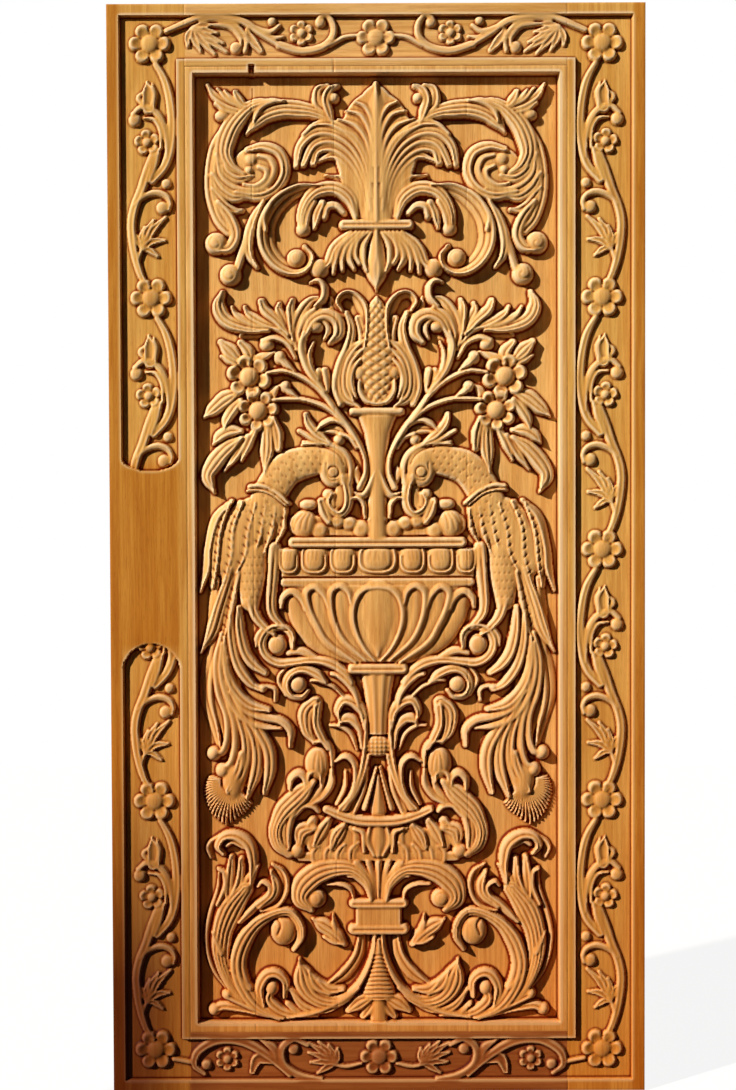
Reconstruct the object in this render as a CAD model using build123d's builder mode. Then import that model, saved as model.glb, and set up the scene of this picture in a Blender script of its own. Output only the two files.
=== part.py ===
from build123d import *
import os

# A carved teak door leaf: two stiles and two rails, tenoned and wedged, round a panel of four boards.
# Millimetres. X runs across the leaf, Z up, and the carved face looks along -Y.
# The origin is at the middle of the leaf's foot.

# Driving sizes of the leaf
LEAF_WIDTH = 1050.0
LEAF_HEIGHT = 2135.0
LEAF_THICK = 50.0

# Frame members, measured on the carved face
STILE_WIDTH = 152.0
TOP_RAIL_WIDTH = 120.5
BOTTOM_RAIL_WIDTH = 118.0

# Plain rim round the leaf and plain margin round the panel, with the carved band between them
SIDE_RIM = 23.5
END_RIM = 21.6
SIDE_MARGIN = 15.5
END_MARGIN = 14.5
BAND_DEPTH = 10.0

# Panel of four boards, tongued into the frame and to each other
PANEL_THICK = 40.0
PANEL_BORDER = 14.5
PANEL_DEPTH = 22.0
TONGUE_THICK = 14.0
TONGUE_LONG = 12.0
TONGUE_BACKSET = 32.0
SIDE_GAP = 0.5
HEAD_GAP = 0.8
BOARD_JOINTS = (-243.0, -82.0, 177.0)
SPLINE_THICK = 8.0
SPLINE_WIDE = 20.0

# Through tenons, each held by two wedges
TENON_THICK = 16.0
TENON_HAUNCH = 26.0
TENON_SHOULDER = 8.0
WEDGE_BUTT = 7.0
WEDGE_TIP = 2.0
WEDGE_LONG = 110.0

# The plain field of the lock stile, left uncarved for a lock
LOCK_FIELD_FOOT = 887.0
LOCK_FIELD_HEAD = 1226.0

# The pattern is drawn on squared paper: 535 squares across the leaf, 1088 down it
SQUARES_ACROSS = 535.0
SQUARES_DOWN = 1088.0
SQUARE_X = LEAF_WIDTH / SQUARES_ACROSS
SQUARE_Z = LEAF_HEIGHT / SQUARES_DOWN
SQUARE = (SQUARE_X + SQUARE_Z) / 2

# Levels that follow from the sizes above
FRONT = -LEAF_THICK / 2
PANEL_GROUND = FRONT + PANEL_DEPTH
BAND_GROUND = FRONT + BAND_DEPTH
ROOT = 1.0
WIDE_STROKE = 21.0
SHORT_STROKE = 4
SIGHT_HALF = LEAF_WIDTH / 2 - STILE_WIDTH
SIGHT_FOOT = BOTTOM_RAIL_WIDTH
SIGHT_HEAD = LEAF_HEIGHT - TOP_RAIL_WIDTH
GROOVE_Y = FRONT + TONGUE_BACKSET


# Carving tools: every form stands on the sunk ground and is drawn in squares

def spot(u, v):
    """A point of the squared drawing: u squares right of the middle, v squares down from the head."""
    return (u * SQUARE_X, LEAF_HEIGHT - v * SQUARE_Z)


def leaf(points, widths, rise=0.8, depth=PANEL_DEPTH, ground=PANEL_GROUND):
    """One carved leaf or stem, cut in flat chisel facets: three widths along its curve, and a crest.

    A narrow stroke is a plain ridge. A wide one has steep sides below its two slopes.
    """
    root, belly, tip = widths
    curve = Spline(*[(x, 0, z) for x, z in [spot(u, v) for u, v in points]])
    steps = len(points) - (1 if len(points) <= SHORT_STROKE else 2)
    sections = []
    for i in range(steps + 1):
        t = i / steps
        swell = 1 - abs(2 * t - 1) ** 1.6
        half = ((root + (tip - root) * t) * (1 - swell) + belly * swell) * SQUARE / 2
        crest = depth * rise * (0.72 + 0.28 * swell)
        profile = [(-ROOT, -half), (crest, 0), (-ROOT, half)]
        if belly > WIDE_STROKE:
            profile = [(-ROOT, -half), (crest * 0.6, -half * 0.85), (crest, 0),
                       (crest * 0.6, half * 0.85), (-ROOT, half)]
        place = Plane(origin=curve @ t + Vector(0, ground, 0), x_dir=(0, -1, 0), z_dir=curve % t)
        sections.append([place.from_local_coords(Vector(up, side, 0)) for up, side in profile])
    return faceted(sections)


def faceted(sections):
    """A solid through closed sections of as many corners each, its sides cut in flat triangles."""
    def facet(*corners):
        return Face(Wire.make_polygon(corners, close=True))
    facets = [facet(*sections[0]), facet(*sections[-1])]
    for near, far in zip(sections, sections[1:]):
        for i, corner in enumerate(near):
            after = (i + 1) % len(near)
            facets.append(facet(corner, near[after], far[after]))
            facets.append(facet(corner, far[after], far[i]))
    return Solid(Shell(facets))


def knob(u, v, radius, rise=0.9, depth=PANEL_DEPTH, ground=PANEL_GROUND, sides=5):
    """A carved ball or berry, sloping in all round."""
    x, z = spot(u, v)
    sections = []
    for share, up in ((1.1, -ROOT), (0.55, depth * rise)):
        arm = Vector(radius * SQUARE * share, 0, 0)
        centre = Vector(x, ground - up, z)
        sections.append([centre + arm.rotate(Axis.Y, i * 360 / sides) for i in range(sides)])
    return faceted(sections)


def flower(u, v, petals, reach, dome, depth=PANEL_DEPTH, ground=PANEL_GROUND):
    """A flat ring of pointed petals round a dome."""
    x, z = spot(u, v)
    share = 360 / petals
    corners = [
        Vector(0, reach * size * SQUARE).rotate(Axis.Z, (i + turn) * share)
        for i in range(petals) for turn, size in ((0, 1), (0.5, 0.62))
    ]
    with BuildPart() as ring:
        with BuildSketch(Plane(origin=(x, ground + ROOT, z), x_dir=(1, 0, 0), z_dir=(0, -1, 0))):
            with BuildLine():
                Polyline(*corners, close=True)
            make_face()
        extrude(amount=depth * 0.65 + ROOT)
    return [ring.part, knob(u, v, dome, 1.0, depth, ground)]


def mass(outline, rise, depth=PANEL_DEPTH, ground=PANEL_GROUND):
    """A body of wood left standing under the leaves, with its outline through the given points."""
    with BuildPart() as block:
        with BuildSketch(Plane(origin=(0, ground + ROOT, 0), x_dir=(1, 0, 0), z_dir=(0, -1, 0))):
            with BuildLine():
                Polyline(*[spot(u, v) for u, v in outline], close=True)
            make_face()
        extrude(amount=depth * rise + ROOT)
    return block.part


# The right half of the panel's carving, from the head down; the left half mirrors it
PALMETTE = [
    leaf([(0, 212), (0, 150), (0, 77)], (12, 16, 1), 1.0),
    leaf([(10, 208), (9, 170), (22, 143), (42, 126), (60, 121), (76, 132)], (5, 10, 3)),
    leaf([(14, 212), (24, 192), (38, 184), (54, 188), (69, 202), (76, 224)], (6, 11, 5), 0.9),
    leaf([(3, 155), (10, 132), (22, 116), (37, 113)], (4, 9, 2)),
    leaf([(2, 135), (6, 112), (14, 99), (27, 98)], (4, 9, 2)),
]
TOP_SCROLL = [
    leaf([(43, 115), (58, 104), (78, 98), (98, 103), (115, 115), (129, 128)], (5, 17, 4)),
    leaf([(95, 95), (120, 98), (142, 115), (160, 145), (166, 172), (163, 200), (150, 225)], (9, 13, 9), 1.0),
    leaf([(150, 225), (146, 238), (156, 245), (168, 234)], (8, 9, 5)),
    leaf([(148, 128), (152, 145), (145, 163), (126, 167)], (5, 11, 4)),
    leaf([(161, 152), (157, 172), (141, 184), (120, 177)], (5, 12, 4), 0.7),
    leaf([(154, 186), (130, 196), (105, 184), (96, 165), (108, 148), (128, 156)], (5, 15, 4)),
    leaf([(124, 104), (140, 97), (154, 92), (169, 79)], (5, 12, 2)),
    leaf([(43, 115), (48, 104), (50, 93), (41, 80)], (5, 10, 4)),
    knob(122, 163, 8), knob(165, 234, 7),
]
C_SCROLL = [
    leaf([(56, 180), (82, 184), (104, 200), (111, 222), (107, 248), (86, 264), (68, 256), (70, 243)], (6, 17, 6), 1.0),
    leaf([(112, 191), (129, 217), (138, 244), (145, 262)], (5, 7, 4), 0.7),
    knob(81, 250, 9), knob(147, 264, 7),
]
LOWER_PALMETTE = [
    leaf([(0, 224), (0, 250), (0, 284)], (8, 16, 2), 0.9),
    leaf([(8, 224), (18, 236), (20, 252), (12, 262)], (5, 9, 3)),
    leaf([(16, 225), (31, 239), (34, 255), (24, 264)], (5, 9, 3)),
    leaf([(24, 226), (42, 243), (49, 258), (57, 263)], (5, 9, 4)),
    knob(60, 262, 8),
]
BUD = [
    leaf([(16, 400), (36, 390), (39, 372), (31, 350), (24, 330), (26, 305), (37, 297)], (9, 14, 4)),
]
FRONDS = [
    leaf([(12, 472), (14, 448), (26, 422), (42, 400), (60, 378), (76, 342)], (8, 8, 6)),
    leaf([(78, 340), (78, 322), (68, 309), (50, 307), (38, 320), (48, 335)], (5, 12, 5)),
    leaf([(82, 345), (84, 322), (76, 302), (60, 284)], (5, 10, 3), 0.7),
    leaf([(85, 336), (95, 314), (113, 296)], (4, 11, 4), 0.7),
    leaf([(92, 323), (122, 313), (147, 300)], (4, 12, 4), 0.7),
    leaf([(90, 328), (124, 319), (152, 308), (150, 287)], (5, 12, 5)),
    leaf([(34, 410), (58, 384), (84, 367), (112, 366)], (7, 8, 6), 0.6),
    leaf([(30, 420), (52, 399), (78, 391), (104, 396)], (7, 8, 6), 0.6),
    leaf([(148, 380), (160, 392), (173, 410)], (5, 13, 2), 0.6),
    leaf([(140, 416), (163, 438), (174, 462), (163, 487)], (6, 14, 2), 0.7),
    leaf([(113, 418), (110, 442), (111, 466)], (5, 13, 3), 0.6),
]
PEACOCK = [
    leaf([(38, 472), (33, 486), (37, 500)], (11, 8, 2), 0.7),
    leaf([(50, 462), (72, 452), (92, 462), (108, 484), (116, 508)], (22, 27, 32), 0.9),
    leaf([(91, 500), (104, 489), (118, 482), (130, 482)], (6, 7, 6), 1.0),
    leaf([(100, 506), (106, 524), (100, 546)], (8, 12, 4), 0.9),
    leaf([(112, 502), (122, 524), (114, 550)], (8, 13, 4), 0.9),
    leaf([(124, 498), (138, 522), (134, 556)], (8, 14, 4), 0.9),
    leaf([(137, 494), (154, 522), (156, 562)], (8, 14, 4), 0.9),
    leaf([(150, 494), (169, 525), (176, 560), (180, 584)], (8, 13, 3), 0.9),
    leaf([(101, 546), (106, 570), (112, 600)], (14, 14, 6), 0.8),
    leaf([(122, 550), (128, 572), (126, 603)], (18, 24, 7), 0.8),
    leaf([(112, 598), (107, 611), (92, 623)], (6, 6, 5), 0.6),
    leaf([(126, 602), (120, 614), (104, 626)], (6, 6, 5), 0.6),
    leaf([(142, 568), (160, 604), (180, 646)], (7, 9, 3), 0.7),
    leaf([(30, 484), (27, 500), (38, 508), (49, 498)], (5, 8, 5), 0.8),
    knob(45, 464, 14, 1.0, sides=10), knob(60, 523, 8, 0.7), knob(18, 522, 8, 0.7),
    knob(36, 520, 9, 0.8), knob(8, 500, 9, 0.7),
]
URN_BOWL = [
    leaf([(0, 578), (0, 612), (0, 656)], (36, 46, 8), 1.0),
    leaf([(20, 656), (40, 636), (48, 608), (40, 580)], (6, 18, 20), 0.9),
    leaf([(28, 657), (56, 638), (68, 610), (62, 580)], (6, 16, 20), 0.9),
    leaf([(34, 658), (72, 632), (88, 606), (84, 580)], (6, 13, 20), 0.9),
]
URN_FOOT = [
    leaf([(8, 750), (20, 778), (34, 806)], (7, 10, 9), 0.8),
    leaf([(0, 762), (0, 786), (0, 808)], (4, 16, 18), 0.7),
    leaf([(0, 815), (0, 834), (0, 853)], (24, 26, 14), 0.7),
    leaf([(36, 814), (52, 834), (60, 850)], (14, 18, 8), 0.7),
    leaf([(48, 812), (66, 832), (78, 850)], (10, 14, 6), 0.7),
]
URN_LEAVES = [
    leaf([(26, 669), (52, 657), (82, 656), (106, 651), (113, 637), (100, 626)], (6, 10, 5)),
    leaf([(20, 693), (40, 670), (68, 660), (92, 672), (84, 690)], (5, 10, 5)),
    leaf([(13, 736), (15, 708), (28, 692), (47, 699)], (6, 10, 6)),
    leaf([(18, 766), (19, 736), (34, 716), (52, 721)], (5, 11, 4), 0.7),
    leaf([(66, 697), (67, 713), (50, 745)], (14, 10, 5), 0.7),
    leaf([(62, 766), (84, 786), (104, 812), (107, 838), (92, 856)], (9, 20, 8), 0.9),
    knob(101, 638, 9), knob(80, 678, 8), knob(65, 698, 10), knob(60, 755, 13), knob(82, 847, 7),
]
TAIL = [
    leaf([(141, 600), (141, 630), (130, 655), (112, 668)], (8, 10, 4)),
    leaf([(150, 612), (150, 645), (138, 670), (108, 686)], (8, 10, 4), 0.7),
    leaf([(158, 636), (150, 672), (134, 694), (106, 706)], (8, 11, 4)),
    leaf([(170, 672), (166, 702), (136, 724), (112, 746), (114, 786)], (8, 12, 6)),
    leaf([(173, 690), (158, 722), (138, 740), (126, 764), (134, 792)], (8, 12, 6), 0.7),
    leaf([(174, 706), (164, 735), (146, 756), (148, 795)], (8, 13, 8)),
    leaf([(148, 780), (148, 800), (152, 818)], (16, 20, 5), 0.7),
]
FOOT_SCROLLS = [
    leaf([(4, 896), (9, 876), (28, 860), (52, 857), (75, 869), (84, 890), (72, 908)], (6, 13, 6), 1.0),
    leaf([(0, 893), (0, 876), (0, 857)], (10, 15, 3), 0.7),
    leaf([(36, 938), (52, 932), (71, 915)], (12, 16, 3), 0.7),
    leaf([(14, 932), (20, 955), (38, 976), (68, 988)], (6, 13, 3)),
    leaf([(53, 993), (72, 978), (83, 954)], (6, 14, 3)),
    leaf([(58, 1013), (95, 1010), (124, 994), (141, 962), (134, 925), (108, 905), (81, 918), (88, 942)],
         (6, 14, 6), 1.0),
    leaf([(98, 1015), (134, 998), (156, 960), (152, 905), (131, 870), (134, 836), (156, 832), (157, 848)],
         (6, 12, 5), 0.9),
    knob(62, 894, 9), knob(97, 937, 7), knob(0, 1006, 12, 0.6),
]
PANEL_FLOWERS = flower(128, 369, 6, 27, 10) + flower(119, 403, 6, 26, 9.5)

# Bodies of wood that stand at mid height under the leaves, so that no ground shows between them
UNDERLAYS = [
    mass([(-13, 190), (13, 190), (13, 213), (-13, 213)], 0.9),
    mass([(-34, 211), (34, 211), (34, 225), (-34, 225)], 0.95),
    mass([(96, 500), (128, 484), (152, 494), (172, 540), (180, 583), (150, 565), (104, 552)], 0.55),
]

# Turned members of the urn, as (head row, foot row, half width in squares), and its tapering bodies
URN_MEMBERS = [
    (398, 408, 24), (531, 541, 87), (570, 579, 93), (656, 668, 26), (811, 820, 52),
    (895, 905, 25), (905, 920, 22), (920, 932, 26),
]
BUD_ROWS = [(290, 1), (308, 10), (330, 16), (356, 18.5), (380, 15), (399, 7)]
NECK_ROWS = [(408, 20), (428, 15), (450, 10.5), (480, 9), (534, 10)]
SHAFT_ROWS = [(668, 17), (690, 14), (728, 10)]
CONE_ROWS = [(944, 2), (995, 15)]


def turned(rows, rise=1.0):
    """A turned body carved in half round: faceted sections stacked down the middle of the panel."""
    sections = []
    for row, half in rows:
        z = spot(0, row)[1]
        sections.append([
            Vector(side * half * SQUARE_X, PANEL_GROUND + ROOT - up * (PANEL_DEPTH * rise + ROOT), z)
            for side, up in ((-1, 0), (-0.75, 0.75), (0, 1), (0.75, 0.75), (1, 0))
        ])
    return faceted(sections)


def bar(head, foot, half, rise=1.0):
    """A square-edged moulding across the urn."""
    with BuildPart() as moulding:
        with BuildSketch(Plane(origin=(0, PANEL_GROUND + ROOT, 0), x_dir=(1, 0, 0), z_dir=(0, -1, 0))):
            with Locations((0, LEAF_HEIGHT - (head + foot) / 2 * SQUARE_Z)):
                Rectangle(2 * half * SQUARE_X, (foot - head) * SQUARE_Z)
        extrude(amount=PANEL_DEPTH * rise + ROOT)
    return moulding.part


# The gadrooned belt under the urn's rim: a row of upright tiles with round tops
BELT_HEAD = 543
BELT_FOOT = 569
BELT_TILES = 9
BELT_HALF = 96
TILE = 2 * BELT_HALF / BELT_TILES
BELT = [
    leaf([((i - (BELT_TILES - 1) / 2) * TILE, row) for row in (BELT_HEAD, BELT_FOOT)], (TILE,) * 3, 0.95)
    for i in range(BELT_TILES)
]
URN = [bar(*member) for member in URN_MEMBERS] + BELT + [
    turned(rows) for rows in (BUD_ROWS, NECK_ROWS, SHAFT_ROWS, CONE_ROWS)
] + [knob(0, 740, 13)]

# The vine in the frame's carved band: one length of it runs from each big flower down to the next
VINE_TOP = 38.5
VINE_PERIOD = 251.9
VINE_LENGTHS = 4
VINE_X = 225


def border_leaf(points, widths, rise=0.95):
    """A stroke of the vine, on the ground of the band."""
    return leaf(points, widths, rise, BAND_DEPTH, BAND_GROUND)


def border_knob(u, v, radius):
    """A berry of the vine."""
    return knob(u, v, radius, 1.0, BAND_DEPTH, BAND_GROUND)


def border_flower(u, v, petals, reach, dome):
    """A flower of the vine."""
    return flower(u, v, petals, reach, dome, BAND_DEPTH, BAND_GROUND)


# One length of the right stile's vine, with its rows counted down from the big flower it hangs from
VINE = [
    border_leaf([(219, 14), (205, 62), (206, 112), (224, 142)], (7, 9, 8)),
    border_leaf([(226, 64), (227, 38)], (13, 13, 1)),
    border_leaf([(206, 112), (214, 76), (242, 74)], (5, 9, 8)),
    *border_flower(VINE_X + 3, 97, 5, 16, 5),
    border_leaf([(226, 122), (240, 158), (245, 206), (229, 244)], (10, 9, 4)),
    border_leaf([(240, 166), (222, 148), (208, 164)], (5, 8, 8)),
    border_leaf([(235, 220), (223, 192), (210, 172)], (5, 14, 2)),
    border_leaf([(234, 206), (211, 203)], (12, 15, 4)),
]


HEAD_VINE = [
    *border_flower(0, 33, 6, 26, 9),
    *border_flower(74, 28, 5, 16, 5),
    border_leaf([(20, 31), (32, 33), (44, 41)], (2, 4, 4)),
    border_leaf([(54, 13), (44, 17), (42, 30), (52, 43), (74, 46), (100, 37)], (5, 8, 8)),
    border_leaf([(100, 37), (122, 22), (145, 12), (168, 11), (188, 19), (207, 25)], (8, 9, 5)),
    border_leaf([(127, 23), (123, 34), (114, 45)], (4, 9, 11)),
    border_leaf([(156, 17), (139, 23), (131, 36), (137, 45)], (5, 9, 6)),
    border_leaf([(184, 24), (166, 32), (149, 46)], (9, 13, 4)),
    border_leaf([(184, 26), (184, 36), (186, 43)], (6, 9, 4)),
    border_knob(56, 18, 6), border_knob(140, 43, 6.5),
]
FOOT_VINE = [
    *border_flower(0, 1055, 6, 26, 9),
    *border_flower(153, 1056, 5, 16, 5),
    border_leaf([(22, 1062), (34, 1064), (46, 1061)], (5, 6, 4)),
    border_leaf([(42, 1060), (54, 1048), (70, 1040)], (5, 12, 4)),
    border_leaf([(72, 1041), (86, 1037), (98, 1046), (96, 1062), (80, 1074), (58, 1076)], (5, 9, 4)),
    border_leaf([(104, 1058), (107, 1045), (119, 1037)], (8, 9, 5)),
    border_leaf([(90, 1072), (110, 1054), (136, 1039), (162, 1037), (182, 1048), (186, 1062), (175, 1070)],
                (6, 12, 5)),
    border_leaf([(108, 1058), (122, 1056), (127, 1068)], (10, 14, 6)),
    border_knob(173, 1063, 5.5), border_knob(86, 1045, 6),
]


# Assembly of the carving: the right half is fused, cut at the middle of the leaf and mirrored

def fused(forms):
    """Forms that stand on one ground, made one."""
    with BuildPart() as lump:
        add(forms, clean=False)
    return lump.part


def both_halves(half_forms):
    """Forms of the right half, cut at the middle of the leaf and mirrored about it."""
    with BuildPart() as whole:
        add(half_forms, clean=False)
        split(bisect_by=Plane.YZ, keep=Keep.TOP)
        mirror(about=Plane.YZ)
    return whole.part


def block(x0, x1, y0, y1, z0, z1):
    """A squared piece of wood between these faces."""
    with BuildPart() as wood:
        with Locations(((x0 + x1) / 2, (y0 + y1) / 2, (z0 + z1) / 2)):
            Box(x1 - x0, y1 - y0, z1 - z0)
    return wood.part


# The panel: one carved slab with a tongue all round
PANEL_HALF = SIGHT_HALF - SIDE_GAP
PANEL_HEAD = SIGHT_HEAD - HEAD_GAP
PANEL_BACK = FRONT + PANEL_THICK
TONGUE_FRONT = GROOVE_Y - TONGUE_THICK / 2
TONGUE_BACK = GROOVE_Y + TONGUE_THICK / 2

with BuildPart() as half_slab:
    add(block(0, PANEL_HALF, FRONT, PANEL_BACK, SIGHT_FOOT, PANEL_HEAD))
    add(block(0, PANEL_HALF - PANEL_BORDER, FRONT, PANEL_GROUND,
              SIGHT_FOOT + PANEL_BORDER, PANEL_HEAD - PANEL_BORDER), mode=Mode.SUBTRACT)
    add(block(0, PANEL_HALF + TONGUE_LONG, TONGUE_FRONT, TONGUE_BACK,
              SIGHT_FOOT - TONGUE_LONG, PANEL_HEAD + TONGUE_LONG))

panel = both_halves([
    half_slab.part,
    *[fused(group) for group in (
        PALMETTE, TOP_SCROLL, C_SCROLL, LOWER_PALMETTE, BUD, FRONDS, PEACOCK, URN_BOWL, URN_FOOT,
        URN_LEAVES, TAIL, FOOT_SCROLLS, PANEL_FLOWERS, UNDERLAYS, URN,
    )],
])


# The slab is sawn into four boards, grooved for a loose tongue at each joint
BOARD_EDGES = (-PANEL_HALF - TONGUE_LONG, *BOARD_JOINTS, PANEL_HALF + TONGUE_LONG)
BOARD_FOOT = SIGHT_FOOT - TONGUE_LONG
BOARD_HEAD = PANEL_HEAD + TONGUE_LONG
SPLINE_FRONT = GROOVE_Y - SPLINE_THICK / 2
SPLINE_BACK = GROOVE_Y + SPLINE_THICK / 2

splines = []
for i, x in enumerate(BOARD_JOINTS):
    left, right = x - SPLINE_WIDE / 2, x + SPLINE_WIDE / 2
    spline = block(left, right, SPLINE_FRONT, SPLINE_BACK, BOARD_FOOT, BOARD_HEAD)
    spline.label = f"panel_tongue_{i + 1}"
    splines.append(spline)

boards = []
for i, (left, right) in enumerate(zip(BOARD_EDGES, BOARD_EDGES[1:])):
    with BuildPart() as board:
        add(panel, clean=False)
        add(block(left, right, FRONT, PANEL_BACK, BOARD_FOOT, BOARD_HEAD), mode=Mode.INTERSECT, clean=False)
        add(splines, mode=Mode.SUBTRACT, clean=False)
    board.part.label = f"panel_board_{i + 1}"
    boards.append(board.part)


# The carved band runs round the leaf and stops in round ends above and below the lock field
BAND_OUTER_X = LEAF_WIDTH / 2 - SIDE_RIM
BAND_INNER_X = SIGHT_HALF + SIDE_MARGIN
BAND_HEAD = LEAF_HEIGHT - END_RIM
BAND_FOOT = END_RIM
BAND_INNER_HEAD = SIGHT_HEAD + END_MARGIN
BAND_INNER_FOOT = SIGHT_FOOT - END_MARGIN
BAND_MIDDLE = (BAND_OUTER_X + BAND_INNER_X) / 2
BAND_HALF = (BAND_OUTER_X - BAND_INNER_X) / 2
BAND_CENTRE_Z = (BAND_HEAD + BAND_FOOT) / 2
INNER_CENTRE_Z = (BAND_INNER_HEAD + BAND_INNER_FOOT) / 2
LOCK_CENTRE_Z = (LOCK_FIELD_HEAD + LOCK_FIELD_FOOT) / 2
LOCK_FIELD_LONG = LOCK_FIELD_HEAD - LOCK_FIELD_FOOT + 2 * BAND_HALF

with BuildSketch(Plane.XZ.offset(-FRONT)) as band:
    with Locations((0, BAND_CENTRE_Z)):
        Rectangle(2 * BAND_OUTER_X, BAND_HEAD - BAND_FOOT)
    with Locations((0, INNER_CENTRE_Z)):
        Rectangle(2 * BAND_INNER_X, BAND_INNER_HEAD - BAND_INNER_FOOT, mode=Mode.SUBTRACT)
    with Locations((-BAND_MIDDLE, LOCK_CENTRE_Z)):
        Rectangle(2 * BAND_HALF, LOCK_FIELD_LONG, mode=Mode.SUBTRACT)
    for end in (LOCK_FIELD_HEAD + BAND_HALF, LOCK_FIELD_FOOT - BAND_HALF):
        with Locations((-BAND_MIDDLE, end)):
            Circle(BAND_HALF)
band_pocket = extrude(band.sketch, amount=-BAND_DEPTH)
band_room = extrude(band.sketch, amount=-BAND_DEPTH - ROOT)

vine_length = fused(VINE)
vine_flower = fused(border_flower(VINE_X, 0, 6, 26, 9.5))
vine_rows = [VINE_TOP + i * VINE_PERIOD for i in range(VINE_LENGTHS + 1)]
vine = both_halves([
    *[Pos(0, 0, -row * SQUARE_Z) * vine_flower for row in vine_rows],
    *[Pos(0, 0, -row * SQUARE_Z) * vine_length for row in vine_rows[:-1]],
    fused(HEAD_VINE), fused(FOOT_VINE),
])
with BuildPart() as band_carving:
    add(vine, clean=False)
    add(band_room, mode=Mode.INTERSECT, clean=False)


# Frame members: the stiles run the full height and the rails are tenoned through them
TENON_FRONT = GROOVE_Y - TENON_THICK / 2
TENON_BACK = GROOVE_Y + TENON_THICK / 2
GROOVE_BOTTOM_X = SIGHT_HALF + TONGUE_LONG + SIDE_GAP
TENONS = (
    (TENON_HAUNCH, BOTTOM_RAIL_WIDTH - TONGUE_LONG - TENON_SHOULDER),
    (SIGHT_HEAD + TONGUE_LONG + TENON_SHOULDER, LEAF_HEIGHT - TENON_HAUNCH),
)


def flared_mortise(side, foot, head):
    """A through mortise on one side of the leaf, flared outward above and below for two wedges."""
    inner = SIGHT_HALF
    outer = LEAF_WIDTH / 2
    start = outer - WEDGE_LONG
    corners = [
        (inner, foot), (start, foot), (start, foot - WEDGE_TIP), (outer, foot - WEDGE_BUTT),
        (outer, head + WEDGE_BUTT), (start, head + WEDGE_TIP), (start, head), (inner, head),
    ]
    with BuildPart() as hole:
        with BuildSketch(Plane.XZ.offset(-TENON_BACK)):
            with BuildLine():
                Polyline(*[(side * x, z) for x, z in corners], close=True)
            make_face()
        extrude(amount=TENON_THICK)
    return hole.part


def wedge(side, face, away):
    """A wedge driven in from the stile's edge, between the tenon's face and the flare of the mortise."""
    outer = LEAF_WIDTH / 2
    start = outer - WEDGE_LONG
    corners = [(start, face), (outer, face), (outer, face + away * WEDGE_BUTT), (start, face + away * WEDGE_TIP)]
    with BuildPart() as slip:
        with BuildSketch(Plane.XZ.offset(-TENON_BACK)):
            with BuildLine():
                Polyline(*[(side * x, z) for x, z in corners], close=True)
            make_face()
        extrude(amount=TENON_THICK)
    return slip.part


def member(label, body, cuts, share):
    """A frame member: its body less its cuts and the band, with its share of the band's carving."""
    with BuildPart() as share_of_vine:
        add(band_carving.part, clean=False)
        add(share, mode=Mode.INTERSECT, clean=False)
    with BuildPart() as wood:
        add(body)
        add(cuts, mode=Mode.SUBTRACT)
        add(band_pocket, mode=Mode.SUBTRACT)
        add(share_of_vine.part, clean=False)
    wood.part.label = label
    return wood.part


members = []
for side, label in ((-1, "lock_stile"), (1, "hinge_stile")):
    near, far = sorted((side * SIGHT_HALF, side * LEAF_WIDTH / 2))
    groove_near, groove_far = sorted((side * SIGHT_HALF, side * GROOVE_BOTTOM_X))
    stile = block(near, far, FRONT, -FRONT, 0, LEAF_HEIGHT)
    cuts = [block(groove_near, groove_far, TONGUE_FRONT, TONGUE_BACK, BOARD_FOOT, BOARD_HEAD + HEAD_GAP)]
    cuts += [flared_mortise(side, foot, head) for foot, head in TENONS]
    members.append(member(label, stile, cuts, stile))
for label, foot, head, (tenon_foot, tenon_head) in (
    ("bottom_rail", 0, SIGHT_FOOT, TENONS[0]), ("top_rail", SIGHT_HEAD, LEAF_HEIGHT, TENONS[1]),
):
    rail = block(-SIGHT_HALF, SIGHT_HALF, FRONT, -FRONT, foot, head)
    with BuildPart() as tenoned:
        add(rail)
        add(block(-LEAF_WIDTH / 2, LEAF_WIDTH / 2, TENON_FRONT, TENON_BACK, tenon_foot, tenon_head))
    groove = block(-SIGHT_HALF, SIGHT_HALF, TONGUE_FRONT, TONGUE_BACK, BOARD_FOOT, BOARD_HEAD + HEAD_GAP)
    members.append(member(label, tenoned.part, [groove], rail))

wedges = []
for (foot, head), place in zip(TENONS, ("bottom", "top")):
    for side, hand in ((-1, "lock"), (1, "hinge")):
        for face, away, where in ((foot, -1, "lower"), (head, 1, "upper")):
            slip = wedge(side, face, away)
            slip.label = f"{place}_{hand}_{where}_wedge"
            wedges.append(slip)

os.makedirs("parts", exist_ok=True)
for piece in [*members, *boards, *splines, *wedges]:
    export_step(piece, f"parts/{piece.label}.step")
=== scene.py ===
# %% [markdown]
# This is the leaf of a carved door in solid teak. The build123d part brings the real sizes: two stiles,
# two rails, four boards, the tongues between them and the wedges of the tenons, all in metres, with the
# carved face towards -Y. That frame is loaded first and never changed. Everything below is dressed round
# it.

# %% Load the frame
import bmesh
import bpy
import numpy as np
from math import pi, radians
from mathutils import Matrix, Vector


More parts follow.
